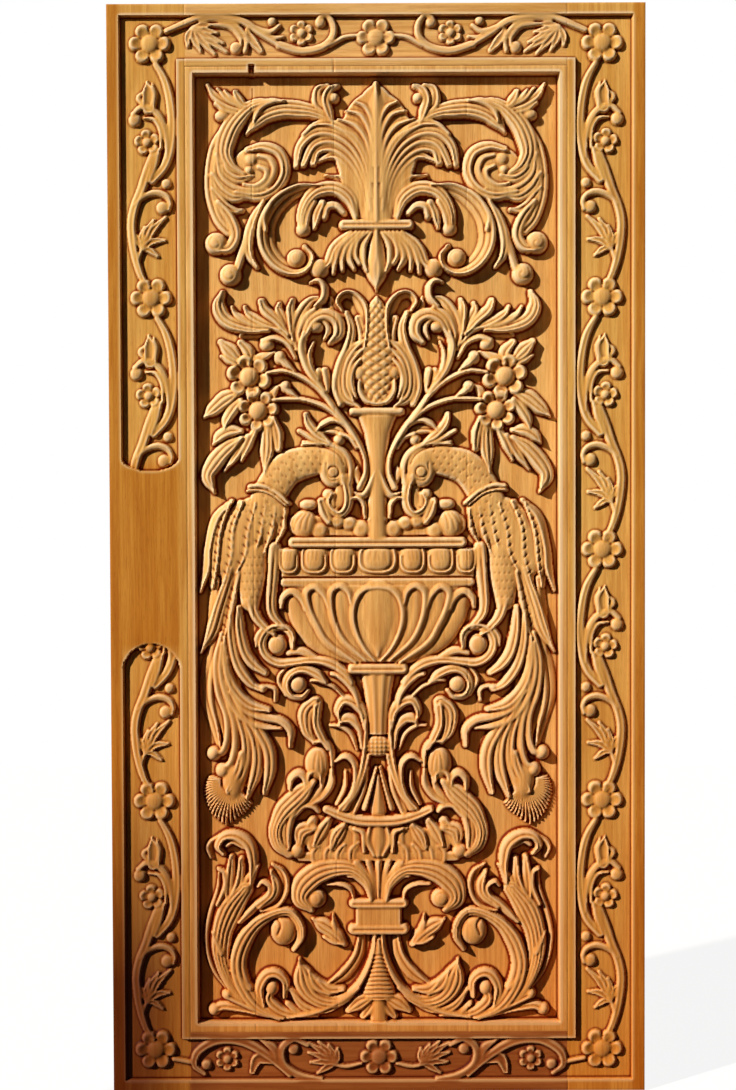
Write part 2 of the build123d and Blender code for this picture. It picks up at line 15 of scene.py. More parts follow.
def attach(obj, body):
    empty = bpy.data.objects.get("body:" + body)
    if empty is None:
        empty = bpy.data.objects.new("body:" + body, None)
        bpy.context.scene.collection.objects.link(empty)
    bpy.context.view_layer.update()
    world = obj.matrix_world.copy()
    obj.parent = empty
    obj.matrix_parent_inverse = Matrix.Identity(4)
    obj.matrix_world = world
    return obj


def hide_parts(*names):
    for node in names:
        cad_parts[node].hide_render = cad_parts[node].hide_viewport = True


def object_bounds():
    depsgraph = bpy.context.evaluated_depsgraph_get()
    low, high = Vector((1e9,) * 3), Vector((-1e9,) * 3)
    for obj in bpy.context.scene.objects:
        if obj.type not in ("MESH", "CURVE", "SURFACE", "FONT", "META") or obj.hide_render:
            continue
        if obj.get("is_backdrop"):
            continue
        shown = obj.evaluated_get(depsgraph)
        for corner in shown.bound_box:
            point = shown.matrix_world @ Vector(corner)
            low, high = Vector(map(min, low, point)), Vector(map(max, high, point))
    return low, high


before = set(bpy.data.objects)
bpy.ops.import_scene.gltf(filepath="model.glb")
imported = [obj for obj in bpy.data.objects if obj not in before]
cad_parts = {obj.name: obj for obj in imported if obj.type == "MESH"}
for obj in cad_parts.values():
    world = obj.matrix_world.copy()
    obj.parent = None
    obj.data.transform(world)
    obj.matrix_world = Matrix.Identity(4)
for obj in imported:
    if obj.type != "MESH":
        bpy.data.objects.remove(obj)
cad_low, cad_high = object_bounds()
print("leaf", [round(b - a, 3) for a, b in zip(cad_low, cad_high)], "m,", len(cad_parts), "nodes")

# %% [markdown]
# A carver sets a pattern out on squared paper first. Here that paper lies over the leaf: 535 squares
# across and 1088 down, counted from the middle line and from the head. A square is just under 2 mm. The
# pattern is folded on the middle line, so one drawing of the right half serves both.

# %% Set out the squared drawing
SQUARES_ACROSS = 535
SQUARES_DOWN = 1088
SQUARE_X = (cad_high[0] - cad_low[0]) / SQUARES_ACROSS
SQUARE_Z = (cad_high[2] - cad_low[2]) / SQUARES_DOWN
HEAD = cad_high[2]
FACE = cad_low[1]
print("one square is", round(SQUARE_X * 1000, 3), "by", round(SQUARE_Z * 1000, 3), "mm")

# %% [markdown]
# Two parts of the leaf are sunk. The panel lies 22 mm behind the face of the frame, and the border round
# it is a trough 10 mm deep with a running vine. The carving stands up from both grounds to the face,
# because it is cut from one thickness of wood. On the left stile a length of the border is left plain,
# for a lock.

# %% Measure the sunk grounds
PANEL_DEPTH = 0.022
BAND_DEPTH = 0.010
RECESS_U = 182.5
RECESS_TOP = 68
RECESS_FOOT = 1019
BAND_INNER = 198
BAND_OUTER = 255.5
BAND_HEAD = (11, 54)
BAND_FOOT = (1035, 1077)
FIELD_HEAD = 463
FIELD_FOOT = 636
print("panel", round(2 * RECESS_U * SQUARE_X, 3), "m wide, lock field from",
      round(HEAD - FIELD_FOOT * SQUARE_Z, 2), "to", round(HEAD - FIELD_HEAD * SQUARE_Z, 2), "m up")

# %% [markdown]
# A relief is a height over every point of the board, so the carving is kept as one field of heights: 0 is
# the sunk ground and 1 the face of the wood. The carver works in strokes of a gouge. Each stroke follows
# a curve through a few points of the drawing, and its width swells and dies away along it, so these two
# come first.

# %% Curves and widths
def smooth(points, spacing=1.5):
    """A curve through the given points, sampled at even steps."""
    p = np.array(points, float)
    q = np.vstack([2 * p[0] - p[1], p, 2 * p[-1] - p[-2]])
    t = np.linspace(0, 1, 24, endpoint=False)[:, None]
    runs = []
    for a, b, c, d in zip(q, q[1:], q[2:], q[3:]):
        runs.append(b + 0.5 * t * (c - a + t * (2 * a - 5 * b + 4 * c - d + t * (3 * b - a - 3 * c + d))))
    dense = np.vstack(runs + [p[-1:]])
    along = np.r_[0, np.cumsum(np.hypot(*np.diff(dense, axis=0).T))]
    at = np.linspace(0, along[-1], max(3, int(along[-1] / spacing) + 1))
    return np.c_[np.interp(at, along, dense[:, 0]), np.interp(at, along, dense[:, 1])]


def eased(values, t):
    """Values given at even steps, joined softly."""
    x = np.clip(t, 0, 1) * (len(values) - 1)
    i = np.minimum(x.astype(int), len(values) - 2)
    f = x - i
    f = 0.6 * f * f * (3 - 2 * f) + 0.4 * f
    v = np.array(values, float)
    return v[i] * (1 - f) + v[i + 1] * f


print("a stroke through three points is sampled at", len(smooth([(0, 0), (20, 10), (40, 0)])), "places")

# %% [markdown]
# Across a stroke the wood has a profile. Most leaves here rise from a low left edge to a crest and roll
# over to the right. Others are rounded like a stem, hollowed like the bowl of a spoon, or drawn to a
# sharp lip. Each profile is a short table of heights. A minus sign behind its name turns it round.

# %% Profiles of the gouges
def profile(kind, s):
    """Height across a stroke, 0 to 1, for s from -1 at its left edge to 1 at its right."""
    if kind[-1] == "-":
        kind, s = kind[:-1], -s
    q = np.abs(s)
    x = (s + 1) / 2
    if kind == "round":
        return np.sqrt(np.clip(1 - q * q, 0, 1))
    if kind == "ridge":
        return 1 - 0.75 * q ** 1.2
    if kind == "flat":
        return np.clip((1 - q) * 5, 0.3, 1)
    if kind == "scoop":
        return np.interp(q, (0, 0.3, 0.62, 0.8, 0.93, 1), (0.3, 0.36, 0.78, 1, 0.85, 0.5))
    if kind == "lip":
        return np.interp(x, (0, 0.06, 0.15, 0.28, 0.55, 0.8, 1), (0.5, 0.85, 1, 0.95, 0.6, 0.32, 0.06))
    if kind == "full":
        return np.interp(x, (0, 0.07, 0.22, 0.46, 0.68, 0.86, 0.95, 1),
                         (0.3, 0.55, 0.76, 0.93, 1, 0.93, 0.7, 0.3))
    return np.interp(x, (0, 0.07, 0.2, 0.42, 0.64, 0.82, 0.93, 1),
                     (0.25, 0.5, 0.7, 0.88, 1, 0.95, 0.66, 0.2))


for kind in ("round", "ridge", "flat", "scoop", "lip", "full", "left"):
    heights = [round(float(profile(kind, np.array(place))), 2) for place in (-0.9, 0.0, 0.9)]
    print(kind, "is", heights, "high near its left edge, in its middle and near its right edge")

# %% [markdown]
# The strokes are laid on a grid of squares. Where two cross, the higher one stays, as wood does that the
# carver leaves standing. A V tool then runs fine flutes along the broad leaves. Sculpting the mesh by
# hand could make the same shapes, but a field of heights keeps every number open to change.

# %% Lay strokes on a grid
V_TOOL = 0.17
LINE_WIDTH = 0.9


class Relief:
    """Heights of a carved face on a grid of squares."""

    def __init__(self, us, vs):
        self.us, self.vs = us, vs
        self.h = np.zeros((len(vs), len(us)), np.float32)

    def window(self, u0, u1, v0, v1):
        a, b = np.searchsorted(self.us, (u0, u1))
        c, d = np.searchsorted(self.vs, (v0, v1))
        return ((slice(c, d), slice(a, b)), *np.meshgrid(self.us[a:b], self.vs[c:d]))

    def raise_to(self, cut, inside, z):
        part = self.h[cut]
        part[inside] = np.maximum(part[inside], z[inside])

    def across(self, path, radius):
        """For the points near a path: its window, the place along it, and the place across it, -1 to 1."""
        reach = radius.max() + 1
        win, u, v = self.window(path[:, 0].min() - reach, path[:, 0].max() + reach,
                                path[:, 1].min() - reach, path[:, 1].max() + reach)
        best = np.full(u.shape, np.inf)
        side = np.zeros(u.shape)
        place = np.zeros(u.shape)
        runs = len(path) - 1
        for i in range(runs):
            (au, av), (bu, bv) = path[i], path[i + 1]
            box = max(radius[i], radius[i + 1]) + 0.5
            a, b = np.searchsorted(u[0], (min(au, bu) - box, max(au, bu) + box)) if u.size else (0, 0)
            c, d = np.searchsorted(v[:, 0], (min(av, bv) - box, max(av, bv) + box)) if u.size else (0, 0)
            if a >= b or c >= d:
                continue
            du, dv = u[c:d, a:b] - au, v[c:d, a:b] - av
            tu, tv = bu - au, bv - av
            length = np.hypot(tu, tv) + 1e-9
            t = np.clip((du * tu + dv * tv) / length ** 2, 0, 1)
            q = np.hypot(du - t * tu, dv - t * tv) / (radius[i] + (radius[i + 1] - radius[i]) * t)
            nearer = q < best[c:d, a:b]
            best[c:d, a:b][nearer] = q[nearer]
            side[c:d, a:b][nearer] = np.sign(tu * dv - tv * du)[nearer]
            place[c:d, a:b][nearer] = ((i + t) / runs)[nearer]
        return win, place, best * np.where(side < 0, -1, 1)

    def stroke(self, points, widths, kind="round", top=0.8, base=0.35, cut=0, flutes=None):
        """One form along a curve: its widths, its height at the crest and at the edges, and its flutes."""
        path = smooth(points)
        radius = np.maximum(eased(widths, np.linspace(0, 1, len(path))) / 2, 0.5)
        win, t, s = self.across(path, radius)
        inside = np.abs(s) < 1
        if cut:
            part = self.h[win]
            bite = cut * (1 - s[inside] ** 2)
            part[inside] = np.maximum(part[inside] - bite, 0)
            return
        z = base + (top - base) * profile(kind, np.clip(s, -1, 1))
        if flutes is None:
            flutes = int(max(widths) / 5) if kind.strip("-") in ("left", "full", "lip") else 0
        here = eased(widths, t) / 2
        for i in range(1, flutes):
            away = (s - (2 * i / flutes - 1)) * here
            bite = V_TOOL * np.exp(-(away / LINE_WIDTH) ** 2)
            z = z - bite * np.clip(here / 2 - 0.7, 0, 1) * np.minimum(1, 6 * t)
        self.raise_to(win, inside, z)


# %% [markdown]
# Not every form is a stroke. Berries and eyes are round bosses, blossoms have cupped petals round a
# heart, and the collars of the urn are turned shapes. They are added to the same grid, so that they grow
# out of the leaves.

# %% Bosses, blossoms and turned forms
class Carving(Relief):
    """A relief with the shapes that aren't strokes."""

    def ball(self, u0, v0, ru, rv=None, top=1.0, base=0.3, dimple=0.0):
        """A rounded boss, or a petal where it has a dimple."""
        rv = rv or ru
        win, u, v = self.window(u0 - ru - 1, u0 + ru + 1, v0 - rv - 1, v0 + rv + 1)
        q = np.hypot((u - u0) / ru, (v - v0) / rv)
        z = base + (top - base) * np.sqrt(np.clip(1 - q * q, 0, 1)) - dimple * np.exp(-(q / 0.4) ** 2)
        self.raise_to(win, q < 1, z)

    def flower(self, u0, v0, petals, far, dome, turn=0.0, top=0.9):
        """Cupped petals with rolled rims, one beside the next, round a domed heart."""
        win, u, v = self.window(u0 - far - 1, u0 + far + 1, v0 - far - 1, v0 + far + 1)
        angle = np.arctan2(u - u0, v0 - v) / (2 * pi) * petals - turn
        wave = np.abs(np.cos(pi * angle))
        q = np.hypot(u - u0, v - v0) / (far * (0.64 + 0.36 * wave ** 0.55))
        cup = np.interp(q, (0, 0.45, 0.6, 0.82, 0.93, 1), (0.45, 0.5, 0.6, 1, 0.93, 0.5))
        parted = 0.45 * np.exp(-(wave / 0.28) ** 2) * np.clip((q - 0.35) / 0.3, 0, 1)
        self.raise_to(win, q < 1, top * cup - parted)
        self.ball(u0, v0, dome, top=1, base=0.3)

    def curl(self, u0, v0, r, top=0.98, base=0.15, turn=0.0):
        """The rolled end of a scroll: a boss with a spiral groove that opens at an angle."""
        self.ball(u0, v0, r, top=top, base=base)
        angles = np.linspace(turn, turn + 1.6 * pi, 7)
        spiral = [(u0 + r * (0.72 - 0.09 * i) * np.sin(a), v0 - r * (0.72 - 0.09 * i) * np.cos(a))
                  for i, a in enumerate(angles)]
        self.stroke(spiral, (2.2, 1.8, 1.4), cut=0.1)

    def cut_ring(self, u0, v0, r, width, depth):
        """A round groove."""
        win, u, v = self.window(u0 - r - width, u0 + r + width, v0 - r - width, v0 + r + width)
        q = np.abs(np.hypot(u - u0, v - v0) - r) / (width / 2)
        part = self.h[win]
        inside = q < 1
        part[inside] = np.maximum(part[inside] - depth * (1 - q[inside] ** 2), 0)

    def slab(self, u0, u1, v0, v1, top):
        """A plain block that fills a rectangle."""
        win, u, v = self.window(u0, u1, v0, v1)
        self.raise_to(win, u == u, np.full(u.shape, top))

    def turned(self, rows, halves, top=1.0, base=0.3, flutes=0):
        """A turned form on the middle line, from its half width at each row."""
        win, u, v = self.window(-max(halves), max(halves), rows[0], rows[-1])
        half = np.interp(v, rows, halves)
        q = np.clip(np.abs(u) / half, 0, 1)
        f = np.sqrt(1 - q * q)
        if flutes:
            f = f - 0.14 * np.cos(flutes * np.arcsin(q)) ** 2
        self.raise_to(win, np.abs(u) < half, base + (top - base) * f)


def say(what, relief):
    """Prints what was carved last, and how much of the grid stands above its ground by now."""
    standing = 100 * float((relief.h > 0).mean())
    print(what, "carved,", round(standing, 2), "% of the grid stands")



# %% [markdown]
# The panel is carved first. Its strokes are given on the squared drawing as (across, down), so a reader
# can follow each of them on the leaf. Their order matters in one way only: cuts come after what they cut
# into.

# %% Lay out the panel's own grid
FINE = 0.5
EDGE_MARGIN = 4.0
us = np.arange(-2, SQUARES_ACROSS / 2 + EDGE_MARGIN, FINE)
vs = np.arange(-EDGE_MARGIN, SQUARES_DOWN + EDGE_MARGIN, FINE)
panel = Carving(us, vs)
gouge = panel.stroke
print("the grid has", panel.h.shape, "points, one every", round(FINE * SQUARE_X * 1000, 2), "mm")

# %% [markdown]
# Each half of the panel holds a peacock that stands on the rim of the urn with its tail hanging down the
# side. The long plumes lie over one another like tiles, so the lowest are carved first and the ones that
# lie on top of them last. Small slanting cuts in the first plume stand for its barbs.

# %% Carve the plumes of the tails
# plumes that leave the wing
gouge([(142, 566), (149, 596), (156, 634)], (10, 13, 5), "lip-", .84, .3)
for v in range(582, 634, 9):
    gouge([(143.4 + (v - 582) * .24, v + 2.2), (147 + (v - 582) * .24, v - 2)], (1.2, 2.2, 1.2), cut=.17)
gouge([(146, 562), (158, 598), (166, 624), (178, 646)], (8, 14, 15, 2), "left-", .86, .2)
gouge([(163, 572), (166, 598), (170, 622)], (9, 8, 4), "lip-", .6, .15)
# long plumes, the outermost first
gouge([(150, 596), (157, 640), (152, 690), (140, 722), (130, 770)], (18, 26, 32, 36, 24), "flat", .4, .36)
gouge([(160, 628), (170, 660), (172, 690), (164, 722), (160, 742)], (8, 14, 14, 10, 5), "lip-", .62, .12)
for points, widths, top in (
    ([(156, 626), (162, 655), (160, 684), (152, 708), (151, 730), (156, 745), (163, 747)],
     (5, 8, 8, 8, 8, 8, 7), .84),
    ([(153, 640), (157, 668), (150, 695), (144, 716), (143, 740), (148, 757), (157, 763)],
     (5, 8, 8, 9, 9, 9, 8), .88),
    ([(150, 650), (150, 680), (140, 708), (133, 732), (133, 756), (142, 778)], (5, 8, 9, 10, 12, 14), .9),
    ([(150, 660), (143, 690), (132, 714), (123, 736), (122, 762), (131, 791)], (5, 8, 9, 11, 13, 5), .9),
    ([(152, 640), (148, 676), (135, 704), (120, 724), (110, 744), (109, 765), (114, 787)],
     (5, 8, 9, 11, 13, 13, 6), .93),
    ([(156, 636), (157, 665), (150, 690), (136, 710), (116, 719), (98, 722)], (5, 8, 9, 9, 9, 4), .93),
    ([(148, 684), (134, 702), (116, 710), (98, 714), (88, 724), (88, 740)], (5, 8, 9, 9, 9, 5), .95),
    ([(153, 630), (152, 658), (145, 680), (130, 697), (110, 703)], (5, 9, 11, 12, 6), .96),
    ([(147, 608), (146, 634), (140, 658), (128, 676), (116, 683)], (5, 10, 11, 11, 6), .97),
    ([(139, 600), (138, 624), (133, 645), (124, 658), (113, 666)], (6, 10, 12, 12, 7), .98),
):
    gouge(points, widths, "left-" if widths[0] == 6 else "full-", top, .25)
panel.ball(116, 681, 5, 4, top=.9)
gouge([(112, 679), (103, 683), (103, 694)], (4, 5, 4), "left-", .7, .2)
panel.ball(165, 747, 7.5, top=1, base=.1)
panel.ball(156, 764, 8, top=1, base=.1)
say("tail plumes", panel)

# %% [markdown]
# The tail ends in a round eye with a fringe. The fringe is a fan of narrow ridges, so a loop sets them
# out by their angle and lets their length grow to the longest one and fall again.

# %% Carve the eyes of the tails
FRINGES = 24
for i in range(FRINGES):
    a = np.radians(-14 + i * 6.3)
    reach = np.interp(i, (0, 8, 15, 18, 23), (25, 33, 43, 34, 28))
    root = (147 + 12 * np.cos(a), 776 + 12 * np.sin(a))
    bend = (147 + (reach - 6) * np.cos(a), 776 + (reach - 6) * np.sin(a))
    tip = (146 + reach * np.cos(a), 777 + reach * np.sin(a))
    gouge([root, bend, tip], (2.4, 3.2, 1.8), "ridge", .7, .1)
panel.ball(146, 774, 11.5, 20, top=.95, base=.3)
gouge([(136, 748), (139, 765), (149, 784)], (10, 16, 10), "full-", .98, .4)
say("tail eyes", panel)

# %% [markdown]
# At the head of the panel stands a palmette, a leaf of many lobes that rises from a band. Its broad body
# is laid low and the lobes are set on it, each a stroke that starts in the middle and bends outwards,
# because that is how the eye reads them: as one plant with a common root.

# %% Carve the palmette
# body of the standing leaf, low behind its lobes
gouge([(0, 204), (0, 178), (0, 154), (0, 130), (0, 110), (0, 92), (0, 78)],
      (30, 44, 74, 84, 66, 34, 6), "ridge", .72, .5)
# second frond, behind the arching one
gouge([(16, 212), (21, 192), (33, 174), (51, 168)], (8, 11, 9, 2), "lip", .62, .2)
# arching leaf, from its inner lobes to its outer ones
gouge([(11, 210), (15, 182), (26, 161), (42, 149), (60, 155)], (5, 9, 10, 4), "left", .66, .3)
gouge([(9, 208), (13, 176), (25, 154), (42, 142), (58, 144), (63, 156)], (5, 10, 11, 8), "left", .74, .3)
gouge([(7, 206), (11, 172), (24, 147), (43, 134), (62, 138), (73, 158)], (5, 10, 12, 7), "left", .8, .3)
gouge([(6, 205), (9, 168), (22, 141), (42, 127), (62, 127), (76, 140), (80, 159)],
      (5, 10, 12, 12, 6), "left", .86, .3)
gouge([(5, 203), (7, 165), (19, 136), (40, 119), (60, 118), (73, 128)], (5, 9, 11, 4), "left", .9, .35)
# straight lobes, their tips on one slope
gouge([(4, 190), (7, 155), (20, 131), (43, 119)], (5, 9, 9, 3), "left", .9, .3)
gouge([(3, 175), (6, 142), (18, 121), (38, 113)], (5, 9, 8, 3), "left", .92, .3)
gouge([(2, 160), (4, 130), (14, 110), (30, 105)], (5, 9, 8, 3), "left", .94, .35)
gouge([(1, 145), (3, 117), (10, 102), (21, 96)], (5, 8, 7, 3), "left", .96, .35)
gouge([(0, 215), (0, 175), (0, 130), (0, 100), (0, 76)], (14, 10, 14, 24, 2), "ridge", 1, .5)
# low arch leaf with its rolled tip
gouge([(20, 210), (26, 192), (40, 182), (57, 183), (69, 193), (75, 208), (75, 222)],
      (8, 15, 15, 11, 7), "left", .9, .3)
gouge([(32, 206), (40, 199), (49, 200), (52, 210)], (6, 9, 7), "left", .85, .3)
gouge([(54, 196), (59, 207), (62, 221)], (8, 10, 4), "left", .86, .3)
gouge([(63, 195), (69, 207), (71, 222)], (8, 9, 5), "left", .8, .3)
panel.ball(73, 222, 7.5, 7, top=.85, base=.15)
# neck and its band
gouge([(0, 186), (0, 200), (0, 214)], (26, 28, 34), "round", .86, .4)
gouge([(-32, 218), (0, 218), (32, 218)], (11, 11, 11), "full", 1, .55)
say("palmette", panel)

# %% [markdown]
# From the palmette a great scroll sweeps out to the stile and turns back on itself. It has a fluted leaf
# with its tip turned down, a main sweep, an outer stem with a rolled end, and pointed tips under it. All
# are strokes with a crest, so that the low sun draws one bright side and one dark side on each.

# %% Carve the top scroll
# bud at the start of the fluted leaf
gouge([(45, 116), (50, 106), (58, 98), (58, 84), (48, 79)], (5, 9, 12, 9, 4), "left", .7, .25)
gouge([(43, 118), (47, 106), (50, 94), (46, 84), (38, 80)], (4, 10, 10, 5), "left", .85, .3)
panel.ball(42, 92, 5.5, top=.85)
# fluted leaf with its tip turned down
gouge([(43, 116), (58, 107), (78, 103), (98, 103), (116, 111), (129, 127)],
      (5, 14, 19, 20, 17, 3), "left", .82, .25)
gouge([(92, 95), (106, 96), (117, 103), (122, 116)], (4, 9, 9, 3), "left", .95, .4)
# main sweep, its outer stem and the hook
gouge([(150, 118), (160, 135), (165, 152), (167, 172), (165, 192), (158, 212), (148, 224)],
      (6, 9, 9, 10, 10, 10), "full", .62, .25)
gouge([(100, 94), (122, 99), (138, 112), (148, 128), (152, 146), (146, 160), (134, 168)],
      (4, 13, 19, 21, 17, 8), "left", .98, .35)
gouge([(158, 196), (146, 212), (141, 228), (147, 240), (157, 242)], (8, 12, 12, 12, 9), "left", .86, .3)
panel.curl(160, 236, 11.5, top=.98, turn=.6)
# tips that point left under the volute
gouge([(164, 168), (156, 182), (143, 191), (129, 190)], (8, 11, 10, 4), "left", .78, .25)
gouge([(164, 182), (153, 196), (142, 203), (134, 203)], (6, 10, 8, 5), "left", .72, .25)
gouge([(160, 196), (150, 207), (140, 213)], (5, 7, 3), "left", .6, .2)
say("top scroll", panel)

# %% [markdown]
# A volute is the eye of a scroll. This one is a low dome with petals laid round it in a spiral, every one
# a little higher and shorter than the one before. A fan of small lobes fills the corner above it.

# %% Carve the volute of the top scroll
# volute, a domed disc with spiral petals
panel.ball(119, 164, 27, 25, top=.62, base=.35)
gouge([(160, 148), (158, 168), (146, 181), (128, 187), (110, 184)], (6, 13, 14, 8), "left", .8, .3)
gouge([(154, 150), (151, 164), (138, 173), (124, 170)], (6, 10, 10, 5), "left", .88, .3)
gouge([(140, 186), (118, 190), (100, 182), (91, 165), (96, 147), (112, 140), (128, 143)],
      (6, 10, 10, 11, 12, 8), "left", .86, .2)
gouge([(136, 182), (118, 184), (106, 176), (101, 163), (106, 152), (117, 149)],
      (4, 8, 8, 8, 5), "left", .82, .35)
gouge([(132, 178), (120, 180), (110, 173), (109, 164), (117, 160)], (4, 8, 8, 5), "left", .9, .4)
panel.ball(125, 153, 7.5, top=.86)
panel.ball(127, 164, 5.5, top=.95)
# upper right leaf, a fan of lobes
gouge([(126, 106), (140, 104), (151, 108)], (8, 13, 11), "round", .62, .2)
gouge([(132, 104), (148, 98), (160, 90), (168, 78)], (6, 11, 9, 3), "left", .82, .3)
gouge([(134, 101), (147, 94), (158, 82)], (5, 7, 3), "left", .85, .3)
gouge([(132, 100), (143, 93), (151, 84)], (5, 7, 3), "left", .85, .3)
gouge([(130, 101), (136, 94), (140, 86)], (5, 10, 6), "full", .9, .3)
gouge([(140, 106), (150, 103), (160, 97)], (6, 9, 4), "left", .78, .3)
panel.ball(153, 109, 8, 6, top=.8, base=.25)
say("top volute", panel)

# %% [markdown]
# Beside the palmette hangs a leaf in the shape of a C with a ball in its hollow, and below its band a
# cloth falls in folds. The C is one wide stroke with a sharp lip at its outer edge. The folds are nearly
# alike, so they are kept in a table of paths and widths.

# %% Carve the C scroll and the drapery
gouge([(112, 192), (124, 214), (132, 238), (139, 260)], (4, 9, 9, 8), "full", .7, .25)
panel.curl(146, 267, 11, top=.98, turn=.8)
gouge([(113, 194), (122, 210), (128, 230), (127, 248), (119, 260)], (4, 9, 11, 9, 4), "left", .84, .25)
gouge([(56, 180), (78, 183), (97, 195), (109, 214), (110, 236), (100, 254), (84, 263), (71, 260),
       (66, 249), (72, 240)], (6, 13, 17, 18, 17, 15, 9, 6), "lip", .96, .12)
gouge([(106, 198), (113, 210), (111, 223)], (4, 7, 6), "left", .98, .5)
panel.ball(80, 251, 9.5, top=.98)
panel.cut_ring(80, 251, 7, 1.8, .12)
# drapery under the palmette's band
gouge([(26, 225), (42, 240), (49, 256), (58, 262)], (6, 10, 10, 6), "left", .84, .3)
panel.ball(57, 261, 10, top=.95, base=.1)
FOLDS = (
    ([(21, 225), (36, 238), (42, 254), (43, 266)], 9),
    ([(17, 225), (30, 238), (35, 252), (34, 263)], 8),
    ([(13, 225), (24, 236), (28, 250), (22, 262)], 9),
    ([(9, 225), (19, 234), (22, 247), (17, 257)], 8),
    ([(6, 226), (13, 238), (14, 252), (10, 264)], 8),
)
for path, width in FOLDS:
    gouge(path, (5, width, width, 4), "left", .88, .3)
gouge([(0, 224), (0, 245), (2, 262), (0, 284)], (10, 16, 17, 1), "ridge", .95, .4)
say("C scroll", panel)

# %% [markdown]
# Down the middle runs a turned neck that carries the bud and the palmette. Under the drapery a leaf wraps
# a small volute, and its stem leaves downwards. The wrapping leaf is laid first and the volute over it.

# %% Carve the neck and the volute under the drapery
panel.turned([408, 414, 425, 445, 465, 480, 505, 532], [20, 17, 13, 10, 9, 9, 10, 11], .92, .3)
gouge([(2, 464), (7, 479), (14, 488), (23, 485)], (4, 8, 8, 2), "left-", .95, .4)
# curled tip under the drapery
gouge([(61, 299), (53, 291), (52, 280), (58, 273), (66, 275)], (5, 8, 8, 6, 3), "left", 1, .2)
# leaf that wraps the volute
gouge([(80, 342), (82, 325), (77, 308), (67, 294), (60, 291)], (4, 9, 13, 12, 6), "full", .72, .2)
gouge([(76, 340), (76, 326), (69, 312), (58, 301)], (4, 9, 14, 8), "full", .8, .3)
# volute and its stem
gouge([(46, 335), (38, 326), (40, 313), (52, 307), (65, 313), (73, 328)],
      (6, 12, 14, 14, 13, 8), "left", .98, .25)
gouge([(52, 331), (48, 322), (52, 314), (60, 312)], (3, 6, 6, 3), "left", .8, .4)
panel.ball(61, 319, 8, 6.5, top=.98, base=.3)
gouge([(58, 372), (65, 360), (67, 346), (63, 334)], (4, 5, 5, 2), "left", .9, .3)
gouge([(52, 384), (66, 366), (73, 350), (75, 338), (72, 326)], (5, 8, 9, 9, 7), "left", .98, .3)
say("neck and volute", panel)

# %% [markdown]
# Thin stems climb from the neck to the two flowers, and a fan of long lobes opens over them like a hand.
# A stem keeps nearly the same width, and a lobe is narrow at its root and broad before its tip.

# %% Carve the long stems and the fan of lobes
gouge([(17, 480), (11, 465), (12, 450), (19, 434), (29, 418), (41, 403), (54, 384)],
      (8, 6, 5, 6, 6, 7, 6), "left", .98, .3)
gouge([(34, 414), (47, 402), (62, 395), (80, 391), (104, 392)], (6, 6, 5.5, 5, 4), "left", .98, .3)
gouge([(50, 390), (63, 377), (78, 368), (93, 363), (110, 365)], (6, 6, 5.5, 5, 4), "left", .98, .3)
# fan of long lobes
gouge([(84, 332), (85, 315), (86, 301), (84, 293)], (3, 9, 11, 6), "left", .86, .2)
gouge([(87, 326), (93, 312), (98, 302), (97, 296)], (3, 8, 10, 5), "left", .7, .2)
gouge([(88, 327), (99, 314), (111, 303), (115, 294)], (4, 10, 12, 8), "left", .93, .2)
gouge([(96, 322), (114, 315), (127, 307), (132, 299)], (3, 10, 10, 4), "left", .86, .2)
gouge([(104, 320), (124, 316), (139, 308), (145, 299)], (3, 9, 9, 3), "left", .84, .25)
gouge([(108, 323), (133, 320), (151, 312), (158, 298), (154, 285)], (4, 10, 15, 15, 6), "left", .98, .2)
gouge([(84, 339), (96, 328), (113, 322), (135, 328)], (4, 11, 14, 6), "lip", .6, .12)
gouge([(84, 336), (96, 324), (112, 318), (130, 319)], (3, 5, 5, 3), "left", .78, .3)
gouge([(81, 350), (89, 336), (102, 330), (114, 333)], (4, 6, 7, 6), "left", .82, .2)
panel.ball(110, 337, 7.5, 6.5, top=.9, base=.15)
say("stems and fan", panel)

# %% [markdown]
# Short curled leaves grow from the stems. Where a leaf ends in a curl, a small boss stands for the rolled
# tip, as the gouge leaves it when it is turned on the spot.

# %% Carve the leaves on the stems
gouge([(82, 363), (91, 356), (98, 348)], (2, 8, 9), "full", .98, .3)
panel.ball(97, 350, 6, 7, top=1, base=.2)
gouge([(79, 389), (87, 384), (93, 378)], (2, 7, 8), "full", .98, .3)
panel.ball(91.5, 379, 5.5, 6, top=1, base=.2)
gouge([(49, 384), (50, 373), (52, 363)], (3, 8, 8), "left", .82, .2)
gouge([(52, 384), (57, 373), (58, 363)], (3, 7, 7), "left", .74, .2)
gouge([(30, 430), (41, 422), (55, 422)], (4, 11, 8), "left", .5, .1)
gouge([(23, 432), (31, 418), (43, 412), (54, 416), (62, 424)], (4, 6, 7, 7, 2), "left", .86, .2)
gouge([(20, 440), (27, 430), (37, 426)], (4, 5, 5), "left", .8, .2)
panel.ball(38, 432, 6, top=.85, base=.15)
gouge([(47, 435), (60, 426), (68, 416), (71, 407)], (4, 10, 10, 6), "left", .92, .2)
gouge([(50, 437), (63, 431), (78, 423)], (4, 8, 5), "left", .86, .2)
gouge([(56, 438), (65, 435), (74, 434)], (3, 5, 3), "left", .8, .2)
gouge([(18, 474), (21, 466), (20, 459)], (7, 8, 2), "left", .6, .2)
say("stem leaves", panel)

# %% [markdown]
# The two flowers are the widest blossoms of the panel. Their leaves are laid first, spread like the
# fingers of a hand, and then the cupped petals, so that no leaf runs over a flower.

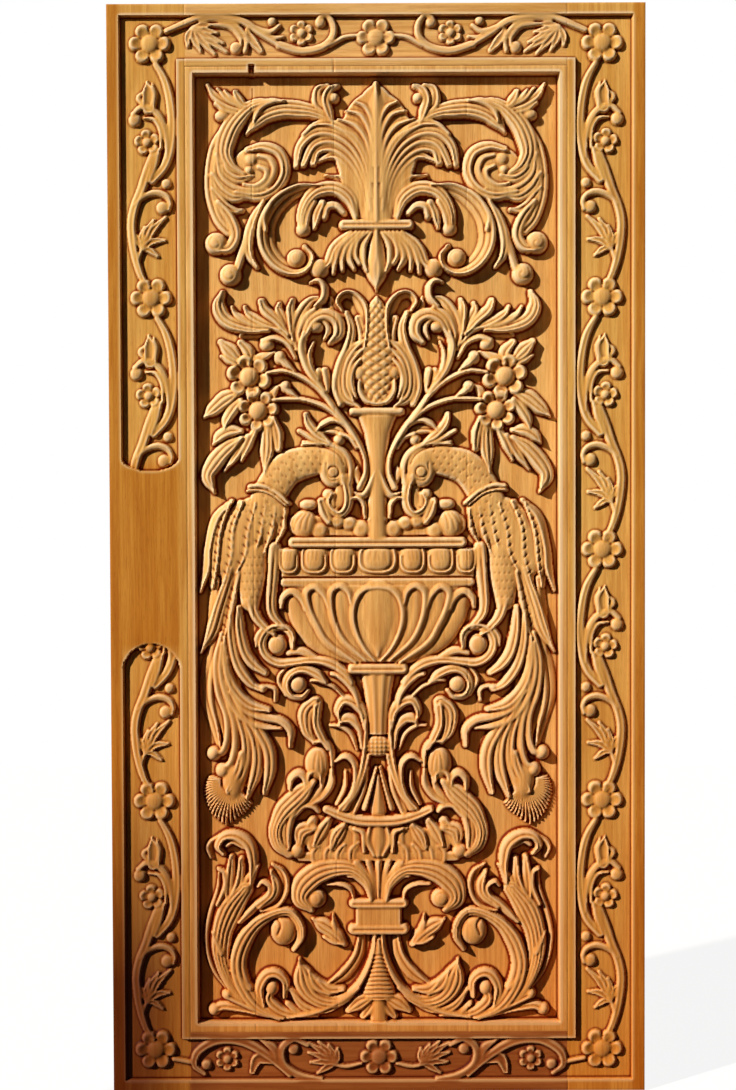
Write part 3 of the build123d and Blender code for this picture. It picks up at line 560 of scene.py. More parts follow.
# %% Carve the two flowers and their leaves
gouge([(127, 356), (128, 345), (136, 335)], (6, 13, 8), "left", .8, .2)
gouge([(136, 354), (146, 344), (156, 334)], (6, 17, 7), "left", .84, .2)
gouge([(140, 357), (148, 352), (156, 348)], (4, 9, 3), "left", .74, .2)
gouge([(102, 344), (112, 348), (125, 351)], (2, 9, 7), "left", .66, .2)
gouge([(97, 377), (104, 384), (103, 393)], (2, 9, 5), "left", .6, .2)
gouge([(140, 385), (152, 391), (164, 401), (173, 409)], (9, 18, 15, 3), "left", .78, .15)
gouge([(137, 392), (145, 402), (151, 412), (153, 421)], (6, 13, 11, 3), "left", .86, .2)
gouge([(104, 411), (100, 427), (99, 441)], (7, 13, 8), "left", .94, .2)
gouge([(110, 419), (110, 440), (113, 465)], (12, 15, 3), "left", .82, .2)
gouge([(122, 422), (130, 437), (136, 453)], (7, 11, 3), "left", .86, .2)
gouge([(130, 428), (140, 445), (153, 463)], (6, 10, 2), "left", .8, .2)
gouge([(136, 430), (151, 441), (164, 456), (170, 469), (163, 485)], (6, 17, 18, 14, 3), "left", .92, .2)
gouge([(136, 423), (147, 423), (157, 428), (164, 436)], (6, 14, 13, 3), "left", .88, .2)
panel.flower(119, 403, 7, 21.5, 9.8, turn=.39)
panel.flower(128, 369, 6, 23, 10.3, turn=.25)
say("flowers", panel)

# %% [markdown]
# Under the drapery a bud stands on the middle line. Its calyx leaves close round it from both sides, and
# the longest ends in a hood that bends over. A boss marks the knot where they meet.

# %% Carve the hood and the calyx of the bud
# small leaf in the shade of the hood
gouge([(33, 306), (42, 301), (46, 289)], (9, 12, 2), "left", .42, .1)
# calyx leaf and its hood
gouge([(15, 350), (14, 328), (18, 311)], (8, 10, 8), "left", .66, .3)
gouge([(36, 396), (40, 378), (36, 358), (28, 338), (25, 320), (30, 305)],
      (8, 12, 12, 11, 9, 5), "left", .8, .2)
gouge([(14, 340), (12, 318), (14, 301), (22, 289), (32, 287), (38, 294), (34, 303)],
      (5, 7, 9, 12, 9, 7, 3), "lip", .98, .1)
gouge([(12, 332), (25, 342), (33, 356), (36, 374), (32, 390), (18, 399)],
      (4, 10, 11, 11, 10, 4), "left", .84, .3)
gouge([(15, 342), (26, 352), (31, 366), (31, 380), (24, 393)], (4, 10, 11, 10, 4), "left", .9, .3)
gouge([(17, 352), (25, 362), (27, 376), (21, 390)], (4, 9, 9, 3), "left", .94, .3)
panel.ball(17, 365, 7, 8, top=.9)
gouge([(0, 396), (10, 393), (16, 384), (17, 374)], (4, 7, 7, 4), "left", .98, .4)
say("hood", panel)

# %% [markdown]
# The bud itself is a cone with crossed scales. Carving them one by one would take a hundred strokes. Two
# sets of slanting waves over a rounded form give the same lozenges, and they close up towards the sides
# as they do on a round body.

# %% Carve the scaled cone of the bud
CONE_TOP = 288
CONE_FOOT = 399
SCALE_STEP = 9.5
half_width = np.interp(vs, (288, 293, 300, 310, 320, 335, 350, 365, 378, 388, 398),
                       (0, 5, 9, 11, 13, 16, 19, 19, 16, 12, 6))
half_width = np.maximum(half_width[:, None], .01)
u, v = np.meshgrid(us, vs)
q = np.abs(u) / half_width
inside = (q < 1) & (v > CONE_TOP) & (v < CONE_FOOT)
around = np.arcsin(np.clip(u / half_width, -1, 1)) * 12
one = np.abs(((around + v) / SCALE_STEP) % 1 - .5) * 2
two = np.abs(((around - v) / SCALE_STEP) % 1 - .5) * 2
z = .45 + .45 * np.sqrt(np.clip(1 - q * q, 0, 1))
z = z + .16 * np.minimum(one * 2.2, 1) * np.minimum(two * 1.6, 1) - .1
panel.h[inside] = np.maximum(panel.h[inside], np.minimum(z, 1)[inside])
# collar and neck
gouge([(-24, 404), (0, 404), (24, 404)], (8, 9, 8), "round", .95, .5)
say("cone", panel)

# %% [markdown]
# Below the bowl of the urn its shaft is narrow, and leaves fill the room at both sides. They curl
# outwards one under the other, with a ball in the hollow of each of the upper two.

# %% Carve the leaves beside the shaft
# upper leaf and its volute
gouge([(60, 651), (78, 644), (90, 646)], (4, 9, 6), "left", .66, .25)
gouge([(26, 676), (34, 665), (48, 656), (66, 653), (84, 655), (100, 656), (112, 648), (116, 635),
       (109, 623), (96, 620), (87, 627), (86, 640)], (6, 9, 11, 9, 8, 9, 9, 9, 8, 8, 8, 5), "full", .9, .2)
panel.ball(101, 638, 10, 11, top=.92, base=.4)
panel.cut_ring(101, 638, 9.5, 2, .25)
# second leaf and its ring
gouge([(18, 704), (22, 688), (30, 676), (39, 669), (46, 667)], (5, 7, 8, 8, 5), "left", .92, .2)
gouge([(52, 675), (62, 667), (76, 662), (88, 667), (93, 678), (88, 689), (77, 691), (70, 684)],
      (4, 10, 10, 8, 8, 7, 6, 4), "left", .88, .2)
gouge([(90, 660), (97, 672), (92, 688)], (5, 10, 5), "lip", .6, .1)
gouge([(52, 676), (59, 673), (67, 674)], (4, 6, 3), "left", .84, .2)
panel.ball(80, 678, 8.5, top=.96, base=.35)
panel.cut_ring(80, 678, 8.6, 2, .3)
gouge([(35, 689), (45, 680), (58, 675)], (3, 4, 3), "left", .8, .2)
# third leaf
gouge([(13, 722), (15, 706), (24, 696), (35, 694), (41, 704), (39, 713)],
      (5, 9, 12, 11, 8, 3), "left", .92, .2)
gouge([(19, 722), (24, 712), (34, 710), (39, 718)], (3, 6, 7, 4), "left", .74, .2)
say("shaft leaves", panel)

# %% [markdown]
# A long thin stalk rises at the outside and bends over into hooks. Its strokes are narrow for most of
# their length, and only the last points widen.

# %% Carve the long stalk and its hooks
# long outer stalk and the fourth leaf
gouge([(33, 803), (24, 788), (18, 770), (14, 750), (12, 730), (12, 714)],
      (7, 6, 6, 5, 5, 4), "left", .94, .3)
gouge([(16, 742), (18, 724), (27, 714), (38, 715)], (4, 7, 9, 5), "left", .8, .15)
gouge([(21, 744), (27, 728), (38, 720), (48, 719)], (2, 5, 5, 3), "left", .62, .15)
# fifth leaf, an open hook
gouge([(38, 803), (27, 789), (22, 771), (24, 757), (33, 750), (43, 755)],
      (6, 6, 6, 7, 7, 4), "left", .96, .1)
gouge([(33, 766), (34, 782), (42, 799)], (3, 5, 4), "left", .6, .2)
say("stalk", panel)

# %% [markdown]
# Between the stalk and the shaft stand a tulip and an acorn. The tulip is a full form with a petal at
# each side. The acorn is a boss with three thin cuts down it.

# %% Carve the tulip and the acorn
# tulip
gouge([(64, 736), (70, 722), (70, 706), (63, 697)], (6, 16, 21, 15), "full", .8, .1)
gouge([(50, 742), (58, 728), (62, 716), (61, 700)], (6, 9, 9, 10), "left", .92, .25)
gouge([(46, 760), (47, 744), (54, 735), (64, 735)], (4, 6, 7, 4), "left", .86, .2)
# acorn and the curls under it
panel.ball(61, 758, 13, 17, top=.95, base=.15)
for k in (-5, -1, 4):
    gouge([(60 + k * .4, 745), (60 + k, 755), (60 + k * 1.2, 766)], (1.5, 2, 1.5), cut=.1)
gouge([(47, 764), (48, 779), (57, 791), (70, 799)], (5, 8, 9, 5), "left", .8, .25)
gouge([(55, 772), (60, 785), (72, 797)], (4, 8, 5), "left", .7, .25)
gouge([(57, 776), (58, 767), (65, 764), (71, 770), (71, 780)], (4, 6, 6, 6, 4), "left", .9, .2)
say("tulip and acorn", panel)

# %% [markdown]
# One great leaf crosses over to the lower scrolls. It is wide and stands at the full height of the face,
# so it catches more light than the leaves round it.

# %% Carve the great leaf
gouge([(73, 790), (73, 774), (80, 767), (88, 773), (89, 783)], (5, 7, 9, 8, 5), "left", .9, .2)
gouge([(66, 776), (80, 790), (96, 806), (104, 824), (101, 840), (90, 850)],
      (8, 20, 20, 14, 13, 8), "full", 1, .3)
gouge([(76, 790), (88, 806), (93, 824), (92, 842)], (8, 14, 14, 8), "left", .9, .3)
gouge([(60, 806), (66, 800), (76, 800), (84, 810)], (5, 8, 8, 5), "left", .84, .25)
gouge([(66, 822), (78, 826), (80, 838)], (10, 16, 8), "left", .76, .25)
panel.ball(82, 846, 7.5, top=.92, base=.3)
say("great leaf", panel)

# %% [markdown]
# The bird's body is two broad round strokes. Its wing is a row of long feathers, each with a raised quill
# side and a vane that falls away. They are cut across with short slanting nicks, placed along the same
# curve as the feather itself.

# %% Carve the body and wing of the peacocks
# neck, breast and back
gouge([(46, 450), (70, 454), (90, 461), (103, 477), (112, 496)], (24, 31, 34, 34, 34), "round", .82, .4)
gouge([(104, 502), (122, 514), (138, 532), (150, 556)], (30, 52, 50, 30), "round", .8, .3)
# feathers of the wing, each a raised quill side and a vane that falls away
for points, widths, top in (
    ([(94, 503), (97, 520), (102, 536)], (6, 11, 3), .84),
    ([(104, 501), (109, 521), (114, 544)], (7, 13, 4), .86),
    ([(114, 499), (121, 522), (126, 552)], (7, 15, 4), .88),
    ([(124, 497), (134, 520), (137, 545), (142, 564)], (7, 16, 16, 4), .9),
    ([(137, 495), (149, 518), (152, 548), (155, 573)], (7, 16, 17, 5), .92),
    ([(150, 497), (161, 520), (165, 550), (166, 579)], (7, 14, 15, 5), .94),
    ([(146, 493), (162, 510), (170, 540), (172, 562), (178, 584)], (5, 9, 8, 9, 3), .9),
):
    gouge(points, widths, "lip-", top, .35)
    if widths[0] > 5:
        path = smooth(points, 8)[1:-1]
        half = eased(widths, np.linspace(0, 1, len(path) + 2))[1:-1] / 2
        for (u, v), w in zip(path, half):
            gouge([(u - .5 * w - 1.6, v + 2.2), (u - .5 * w + 2.2, v - 2)], (1.2, 2.2, 1.2), cut=.17)
say("body and wing", panel)

# %% [markdown]
# The shoulder is stippled with small pits in rows, and two cords lie round the root of the neck. Pits are
# cut after the form is standing, because a cut only takes wood away.

# %% Cut the shoulder and lay the collar
# pits of the shoulder
for i in range(9):
    for j in range(3):
        u, v = 94 + i * 6.5 + j * 2, 505 - i * 2.6 + abs(i - 5) * 1.2 + j * 6
        gouge([(u, v), (u + .8, v - .6)], (1.7, 1.7), cut=.1)
# collar cords
gouge([(88, 496), (102, 484), (116, 478), (128, 479)], (4, 6, 6, 5), "round", 1, .5)
gouge([(91, 499), (105, 488), (119, 483), (130, 484)], (2, 3, 3), cut=.3)
gouge([(91, 498), (105, 487), (119, 482.5), (130, 483)], (2, 3, 3, 3), "round", .95, .5)
say("shoulder", panel)

# %% [markdown]
# The head is a round boss with a ring cut round the eye, and a rim of feathers behind it. The beak is
# hooked round what the bird holds, so it is one stroke that turns through half a circle.

# %% Carve the head and the beak
# head, its outer rim, cheek, eye
gouge([(27, 476), (26, 460), (31, 447), (43, 438), (58, 435), (75, 437)],
      (5, 7, 7, 6, 5, 3), "left", .84, .3)
panel.ball(44, 459, 15, 21, top=1, base=.45)
panel.cut_ring(44, 464.5, 5.6, 2, .18)
panel.ball(44, 464.5, 3.6, top=1, base=.6)
gouge([(40, 472), (46, 473), (51, 467), (51, 455)], (1.5, 2, 1.5), cut=.14)
gouge([(33, 457), (38, 448), (47, 442), (58, 439)], (1.6, 2), cut=.16)
# beak, hooked round what it holds
gouge([(43, 487), (44, 494), (41, 503)], (6, 8, 5), "left-", .75, .3)
gouge([(33, 470), (29, 486), (30, 499), (37, 507), (46, 503), (50, 494), (46, 486)],
      (13, 11, 10, 9, 8, 6, 3), "left-", .98, .25)
gouge([(35, 478), (34, 488), (37, 497), (43, 500)], (2.2, 2, 1.5), cut=.3)
gouge([(39, 478), (40, 486), (41, 494)], (3, 4, 2), cut=.6)
say("head", panel)

# %% [markdown]
# Small pits in rows that are shifted by half a step cover the neck like scales, and the thick upper leg
# has the same. Two legs end in claws on the edge of the urn.

# %% Cut the neck and carve the legs
# pits of the neck
for i in range(8):
    for j in range(5):
        u, v = 56 + i * 7.6 + (j % 2) * 3.8, 444 + j * 6.4 + max(0, i - 2) ** 1.6 * 1.9
        gouge([(u, v + .8), (u + 1.2, v - .8)], (1.8, 1.8), cut=.11)
# legs and claws
gouge([(103, 540), (105, 568), (107, 596), (104, 609), (93, 621)], (13, 13, 11, 10, 6), "left-", .88, .25)
gouge([(124, 545), (127, 570), (128, 594)], (26, 30, 20), "round", .84, .3)
gouge([(127, 592), (122, 609), (113, 620), (104, 627)], (14, 11, 9, 5), "left-", .9, .3)
gouge([(115, 622), (120, 630), (122, 639)], (7, 8, 3), "left-", .8, .3)
gouge([(91, 623), (98, 623), (104, 621)], (1.5, 1.5), cut=.3)
for i in range(6):
    for j in range(-2, 3):
        u, v = 122 + j * 5 + i % 2 * 2.5, 550 + i * 8
        gouge([(u, v + .6), (u + 1, v - .6)], (1.7, 1.7), cut=.1)
gouge([(110, 556), (113, 578), (119, 602)], (2, 4, 3), cut=.5)
gouge([(36, 480), (37, 492), (42, 500)], (12, 12, 8), "round", .6, .4)
say("neck and legs", panel)

# %% [markdown]
# Between the birds and the urn a row of round blossoms stands on the rim. They touch each other, so they
# are bosses side by side on one flat strip, with a dimple in the middle of most of them.

# %% Carve the blossoms on the rim
gouge([(0, 521), (40, 520), (78, 517)], (17, 17, 22), "flat", .42, .36)
gouge([(12, 510), (13, 497), (19, 490), (27, 491)], (4, 6, 6, 3), "left", .92, .15)
gouge([(0, 515), (5, 509), (9, 512)], (4, 5, 3), "left", .8, .3)
panel.ball(3, 524, 10, 9, top=.7)
panel.ball(16, 522, 9, 9, top=.86, dimple=.1)
panel.ball(28, 516, 8, 7, top=.84, dimple=.1)
panel.ball(40, 514, 8, 7, top=.9, dimple=.1)
gouge([(48, 513), (52, 505), (56, 494)], (10, 13, 9), "left", .98, .25)
panel.ball(49, 487, 6, 6, top=.85, dimple=.06)
panel.ball(58, 523, 9, 8.5, top=.82, dimple=.08)
panel.ball(69, 497, 9, 5.5, top=.82, dimple=.05)
panel.ball(73, 517, 13, 15, top=.92, base=.15)
for k in (-3, 1, 5):
    gouge([(70 + k, 506), (74 + 1.4 * k, 513), (76 + 1.6 * k, 522)], (1.5, 2, 1.5), cut=.1)
say("rim blossoms", panel)

# %% [markdown]
# The urn's rim is a rolled bar. Below it runs a belt of gadroons, which are rounded lobes that a turner's
# ware often has. Each is a soft box shape with a raised edge low on it, so one formula makes all of them
# from a middle and a half width.

# %% Carve the belt of the urn
gouge([(-84, 535), (0, 535), (84, 535)], (11, 11, 11), "full", 1, .72)
# belt of gadroons with rolled rims
panel.slab(-97, 97, 541, 570, .46)
GADROONS = ((0, 20.5), (35, 13.5), (63.5, 14), (89, 10.5))
for middle, half in GADROONS:
    win, u, v = panel.window(middle - half, middle + half, 541, 568)
    x, y = (u - middle) / half, (v - 551) / 16
    q = (np.abs(x) ** 2.6 + np.abs(y) ** 3.2) ** .37
    dome = .3 + .62 * np.sqrt(np.clip(1 - q * q, 0, 1)) * (1 + .12 * y)
    low = (y > -.2) | (x > .3)
    rim = low * (.16 * np.exp(-((q - .87) / .06) ** 2) - .12 * np.exp(-((q - .72) / .07) ** 2))
    panel.raise_to(win, q < 1, dome + rim)
    for k in (-.25, .05, .35):
        gouge([(middle + k * half, 544), (middle + (k + .06) * half, 553)], (1.2, 1), cut=.08)
gouge([(-93, 575), (0, 575), (93, 575)], (9, 9, 9), "flat", .62, .5)
say("urn belt", panel)

# %% [markdown]
# The bowl is round as a whole, with ribs that run together at its foot and a hollow between each two. The
# round form is laid first, then the ribs at both sides from one table, then the hollows' own soft ground.

# %% Carve the bowl of the urn
rows = (578, 590, 600, 610, 620, 630, 640, 648, 656)
win, u, v = panel.window(-98, 98, 578, 656)
half = np.interp(v, rows, (95, 97, 93, 88, 82, 75, 66, 50, 26))
q = np.abs(u) / half
panel.raise_to(win, q < 1, .12 + .62 * np.sqrt(np.clip(1 - q ** 2.2, 0, 1)))
for side in (-1, 1):
    for points, widths, top in (
        ([(0, 579), (13, 581), (22, 590), (26, 606), (23, 624), (14, 642), (3, 654)],
         (7, 8, 8, 8, 7, 6, 3), 1),
        ([(26, 596), (29, 584), (38, 578), (47, 584), (48, 598), (44, 616), (34, 635), (12, 654)],
         (5, 8, 8, 8, 8, 8, 7, 3), .96),
        ([(49, 600), (53, 588), (63, 579), (72, 585), (70, 600), (62, 618), (50, 637), (22, 656)],
         (5, 8, 8, 8, 8, 8, 7, 3), .88),
        ([(72, 602), (76, 591), (86, 584), (95, 590), (97, 600)], (5, 8, 8, 7, 4), .78),
    ):
        path = [(side * a, b) for a, b in points]
        gouge(path, widths, "left" if side > 0 else "left-", top, .45)
    gouge([(side * 74, 600), (side * 66, 618), (side * 56, 633)], (3, 4, 3), "ridge", .6, .3)
    for points, widths, top in (
        ([(38, 588), (38, 602), (34, 620), (24, 638), (8, 654)], (14, 18, 17, 12, 4), .84),
        ([(61, 588), (60, 604), (52, 621), (38, 639), (18, 655)], (14, 18, 18, 13, 4), .76),
        ([(84, 594), (80, 608), (70, 624), (52, 641), (26, 656)], (16, 20, 22, 16, 5), .62),
    ):
        gouge([(side * a, b) for a, b in points], widths, "round", top - .08, .1)
gouge([(0, 588), (0, 610), (0, 632), (0, 648)], (34, 38, 26, 6), "round", .9, .55)
say("bowl", panel)

# %% [markdown]
# A collar, a fluted shaft, a netted knob and a flaring foot carry the bowl. The shaft and the foot look
# turned on a lathe, so they are given by their half width at a few rows. The net is two sets of waves.

# %% Carve the shaft and its knob
# collar and fluted shaft
gouge([(-25, 662), (0, 662), (25, 662)], (11, 12, 11), "full", 1, .5)
panel.turned([668, 684, 700, 715, 729], [17, 14, 12, 10.5, 10], .9, .3, flutes=5)
# netted knob
u, v = np.meshgrid(us, vs)
q = np.hypot(u / 13.5, (v - 740) / 11)
net = np.maximum(np.cos(u * .72) ** 6, np.cos(v * .72) ** 6)
z = .5 + .5 * np.sqrt(np.clip(1 - q * q, 0, 1)) - .14 * net
panel.h[q < 1] = np.maximum(panel.h[q < 1], z[q < 1])
# flaring foot
for side in (-1, 1):
    kind = "left" if side > 0 else "left-"
    gouge([(side * a, b) for a, b in ((12, 762), (18, 785), (26, 806))], (6, 12, 9), kind, .66, .2)
    gouge([(side * a, b) for a, b in ((10, 749), (15, 768), (24, 789), (36, 803))],
          (5, 5, 6, 6), kind, .9, .3)
    gouge([(side * a, b) for a, b in ((2, 762), (7, 780), (14, 803))], (3, 5, 6), kind, .84, .3)
gouge([(0, 770), (0, 787), (0, 806)], (4, 11, 16), "ridge", .7, .3)
gouge([(-52, 804), (-38, 810), (-20, 815), (0, 816), (20, 815), (38, 810), (52, 804)],
      (8, 10, 11, 11, 11, 10, 8), "full", .98, .45)
say("shaft", panel)

# %% [markdown]
# The foot stands on a skirt of hanging lobes. They lie over a low ground in two rows, and the lower row
# shows only its round ends.

# %% Carve the scalloped skirt
# low ground, and the two rows of lobes at both sides
gouge([(-78, 852), (0, 852), (78, 852)], (10, 10, 10), "flat", .5, .4)
gouge([(-60, 838), (0, 834), (60, 838)], (26, 32, 26), "flat", .46, .4)
for side in (-1, 1):
    for points, widths, top in (
        ([(66, 816), (74, 830), (82, 846)], (10, 14, 6), .62),
        ([(50, 815), (58, 828), (64, 840)], (8, 14, 6), .78),
        ([(34, 820), (42, 832), (46, 842)], (8, 15, 8), .84),
        ([(28, 822), (22, 830), (24, 846)], (6, 9, 5), .6),
        ([(24, 823), (15, 828), (14, 846)], (5, 7, 5), .84),
        ([(8, 822), (10, 836), (4, 850)], (6, 8, 5), .8),
        ([(20, 838), (26, 846), (27, 854)], (5, 11, 10), .66),
        ([(34, 840), (39, 848), (40, 855)], (5, 11, 10), .64),
        ([(48, 841), (51, 848), (52, 855)], (5, 11, 10), .62),
        ([(60, 842), (64, 848), (64, 855)], (5, 11, 10), .6),
    ):
        gouge([(side * a, b) for a, b in points], widths, "left-" if side > 0 else "left", top, .25)
gouge([(0, 822), (0, 836), (0, 850)], (14, 18, 8), "round", .8, .3)
say("skirt", panel)

# %% [markdown]
# Under the skirt two volutes meet on the middle line over a plain block. They are the boldest forms low
# on the panel, so their strokes are wide and reach the full height.

# %% Carve the middle volutes
# upper volute
gouge([(22, 858), (12, 873), (7, 893)], (9, 9, 5), "left-", .8, .3)
gouge([(10, 857), (5, 875), (3, 893)], (7, 7, 4), "left-", .7, .3)
gouge([(0, 857), (0, 875), (0, 893)], (8, 8, 4), "ridge", .8, .3)
gouge([(7, 894), (11, 877), (24, 865), (42, 863), (61, 868), (76, 881), (79, 895), (68, 906)],
      (7, 12, 13, 18, 23, 24, 17, 7), "full", 1, .3)
gouge([(6, 894), (12, 881), (22, 872), (31, 871)], (5, 8, 9, 4), "left", .84, .2)
gouge([(25, 894), (28, 885), (38, 880), (52, 880)], (3, 5, 5, 3), "left", .7, .2)
panel.ball(63, 894, 10, top=1, base=.35)
panel.cut_ring(63, 894, 6.5, 1.8, .08)
# block under it
gouge([(-25, 899), (0, 899), (25, 899)], (10, 10, 10), "full", .95, .5)
panel.slab(-23, 23, 904, 920, .78)
gouge([(-25, 925), (0, 925), (25, 925)], (12, 12, 12), "full", 1, .5)
gouge([(34, 941), (43, 931), (54, 923), (67, 915)], (6, 15, 16, 2), "left", .82, .12)
gouge([(38, 934), (44, 923), (46, 911)], (6, 8, 2), "left", .7, .2)
gouge([(35, 940), (46, 937), (55, 933)], (4, 8, 4), "left", .88, .2)
say("middle volutes", panel)

# %% [markdown]
# A ribbed cone hangs from the block into a small shell at the foot. The cone is a turned form with
# slanting cuts at even steps, and stalks swing away at both sides of it.

# %% Carve the ribbed cone and the shell
# stalks beside the ribbed cone
gouge([(17, 930), (21, 952), (34, 971), (52, 983)], (7, 11, 13, 6), "lip", .56, .2)
gouge([(4, 931), (6, 948), (13, 968), (24, 985), (42, 998), (64, 1008), (92, 1014)],
      (5, 6, 7, 8, 8, 8, 5), "left", .9, .25)
panel.turned([934, 950, 968, 990, 997], [1.5, 5, 10, 17, 16], .95, .35)
for v in np.arange(950, 996, 4.4):
    gouge([(-(v - 934) * .3, v + 2), (0, v + .5), ((v - 934) * .3, v + 2)], (2, 2, 2), cut=.16)
# shell at the foot
gouge([(8, 994), (20, 1000), (31, 1008)], (9, 17, 7), "left", .82, .15)
gouge([(4, 996), (10, 1006), (16, 1014)], (10, 14, 7), "left", .7, .15)
gouge([(0, 996), (0, 1017)], (14, 18), "round", .84, .4)
say("cone and shell", panel)

# %% [markdown]
# A leaf with three lobes sweeps from the shell to the side, and a small volute closes the gap beside it.

# %% Carve the sweeping leaf
# sweeping leaf with three lobes
gouge([(36, 986), (50, 986), (61, 976)], (6, 12, 4), "left", .82, .2)
gouge([(50, 990), (62, 982), (70, 967)], (6, 14, 4), "left", .86, .2)
gouge([(22, 984), (38, 997), (56, 998), (71, 986), (80, 956)], (8, 12, 17, 24, 3), "full", .94, .2)
gouge([(32, 997), (54, 1006), (74, 1002), (89, 986)], (6, 11, 15, 6), "left", .8, .15)
gouge([(62, 1013), (80, 1010), (92, 1001)], (4, 9, 6), "left", .74, .15)
# small volute
gouge([(80, 1013), (98, 1008), (110, 997), (108, 987)], (4, 9, 11, 7), "left", .86, .25)
gouge([(95, 994), (94, 979), (103, 970), (114, 972), (121, 986), (117, 1002)],
      (5, 8, 10, 11, 10, 5), "full", .92, .2)
panel.ball(108, 985, 7, 8, top=.96, base=.2)
say("sweeping leaf", panel)

# %% [markdown]
# Two large scrolls fill the lower corner, one inside the other. The inner one winds up to a rolled end
# with a boss, and the outer one climbs to the stile.

# %% Carve the lower scrolls
# middle scroll and its rolled end
gouge([(96, 1015), (120, 1005), (135, 986), (142, 962), (137, 940), (124, 921), (106, 910), (90, 908),
       (80, 920), (79, 934), (86, 946)], (4, 10, 15, 17, 17, 17, 13, 10, 9, 9, 5), "full", .98, .3)
gouge([(130, 984), (144, 970), (150, 966)], (8, 9, 2), "left", .9, .3)
panel.ball(96, 927, 13, 15, top=1, base=.35)
gouge([(110, 917), (103, 915), (99, 921), (102, 930)], (2, 3, 3, 2), cut=.2)
gouge([(92, 914), (99, 912), (108, 914)], (1.6, 2, 1.6), cut=.12)
# outer scroll
gouge([(150, 990), (166, 962), (171, 936), (167, 910), (160, 886), (159, 868)],
      (4, 9, 10, 12, 10, 6), "lip-", .5, .1)
gouge([(100, 1016), (128, 1004), (147, 984), (158, 957), (158, 930), (149, 905), (134, 884)],
      (4, 8, 11, 15, 20, 25, 16), "full", .96, .3)
gouge([(158, 948), (163, 936), (168, 927)], (8, 8, 2), "left", .98, .4)
say("lower scrolls", panel)

# %% [markdown]
# The outer scroll ends in a head of leaves under the tail of the peacock. More leaves and two plumes
# close the ground between the scrolls, so that no large piece of it stays empty.

# %% Carve the last leaves of the corner
# leaves of its head
gouge([(146, 896), (133, 878), (121, 860)], (9, 13, 3), "full-", .86, .25)
gouge([(150, 896), (140, 876), (138, 854)], (7, 10, 6), "left", .9, .25)
gouge([(152, 896), (150, 874), (148, 852)], (6, 12, 6), "left", .88, .25)
gouge([(162, 900), (154, 882), (155, 868), (161, 864)], (5, 7, 7, 4), "left", .92, .25)
gouge([(128, 878), (126, 858), (130, 840), (143, 830), (156, 831), (162, 841), (156, 849)],
      (5, 9, 12, 13, 11, 8, 5), "full", 1, .15)
gouge([(160, 830), (170, 842), (168, 852)], (4, 9, 5), "lip", .5, .05)
gouge([(136, 842), (146, 836), (153, 840)], (5, 7, 5), "left", .72, .3)
# leaf between the scrolls
gouge([(118, 905), (102, 898), (95, 882), (98, 868), (107, 860)], (7, 10, 11, 10, 3), "lip", .66, .15)
gouge([(120, 903), (106, 892), (103, 880), (108, 866)], (5, 8, 10, 4), "left", .92, .25)
gouge([(140, 918), (124, 902), (111, 891), (109, 882), (117, 877), (122, 882)],
      (5, 8, 8, 7, 6, 3), "left", .88, .2)
# last plumes of the corner
gouge([(108, 1012), (134, 1000), (152, 991)], (3, 9, 11), "full", .96, .15)
panel.ball(153, 991, 6, top=1, base=.15)
gouge([(112, 1014), (138, 1006), (156, 1003), (165, 1006)], (3, 6, 10, 10), "left", .78, .2)
panel.ball(166, 1007, 6.5, top=.92, base=.1)
say("corner leaves", panel)

# %% [markdown]
# The border is a trough with a running vine: leaves on a wavy stem, with a six-petalled flower at even
# steps. Along the stile one length of it comes back again and again, so it is written once and moved
# down. The head and the foot have their own short lengths, from a middle flower out to the corner.

# %% Carve one length of the vine
VINE_TOP = 38.5
VINE_PERIOD = 251.9
VINE_LENGTHS = 4
BIG_FLOWER = dict(petals=6, far=21, dome=9.2, turn=0.5)
border = Carving(us, vs)


def vine_length(dv):
    """One length of the stile's running vine, moved down by dv squares."""
    def lay(points, widths, kind="left", top=0.85, base=0.35):
        border.stroke([(u, v + dv) for u, v in points], widths, kind, top, base)
    lay([(240, 198), (232, 190), (220, 186), (210, 189), (206, 196), (207, 203)], (4, 6, 7, 6, 4))
    border.ball(213, 201 + dv, 6.5, top=0.95)
    for tip, w in (((210, 210), 7), ((222, 213), 7), ((231, 220), 6.5), ((239, 228), 5),
                   ((211, 233), 7), ((218, 249), 6)):
        mid = ((234 + tip[0]) / 2 + 1, (240 + tip[1]) / 2 - 2)
        lay([(234, 243), mid, tip], (3, w, 3), "scoop", 0.8, 0.3)
    lay([(236, 269), (238, 255), (234, 242)], (5, 5, 4), "round", 0.75)
    lay([(208, 152), (208, 132), (213, 115), (222, 104), (233, 101), (242, 108)], (4, 7, 7, 7, 5))
    lay([(214, 142), (214, 126), (220, 114), (231, 112)], (3, 5, 5, 2))
    border.ball(240, 114 + dv, 6.5, top=0.95)
    lay([(226, 102), (226, 88), (228, 75)], (13, 13, 1), "scoop", 0.9, 0.3)
    lay([(222, 100), (220, 88), (223, 77)], (6, 6, 1), "left", 0.8)
    lay([(232, 99), (236, 92), (232, 86)], (4, 6, 2), "left", 0.7)
    lay([(219, 58), (210, 75), (205, 95), (203, 118), (205, 142), (211, 160), (223, 174)],
        (6, 8, 9, 10, 9, 8))
    lay([(216, 143), (221, 158), (226, 174)], (4, 9, 5), "left", 0.9)
    border.ball(209, 177 + dv, 5, top=0.8)
    lay([(222, 150), (228, 165), (234, 183), (241, 200), (244, 216), (243, 235), (240, 252), (235, 268),
         (228, 280)], (10, 10, 9, 9, 8, 6))
    border.flower(228, 136 + dv, 5, 13, 4.9, turn=0.1, top=0.8)
    border.flower(225, VINE_TOP + dv, **BIG_FLOWER)


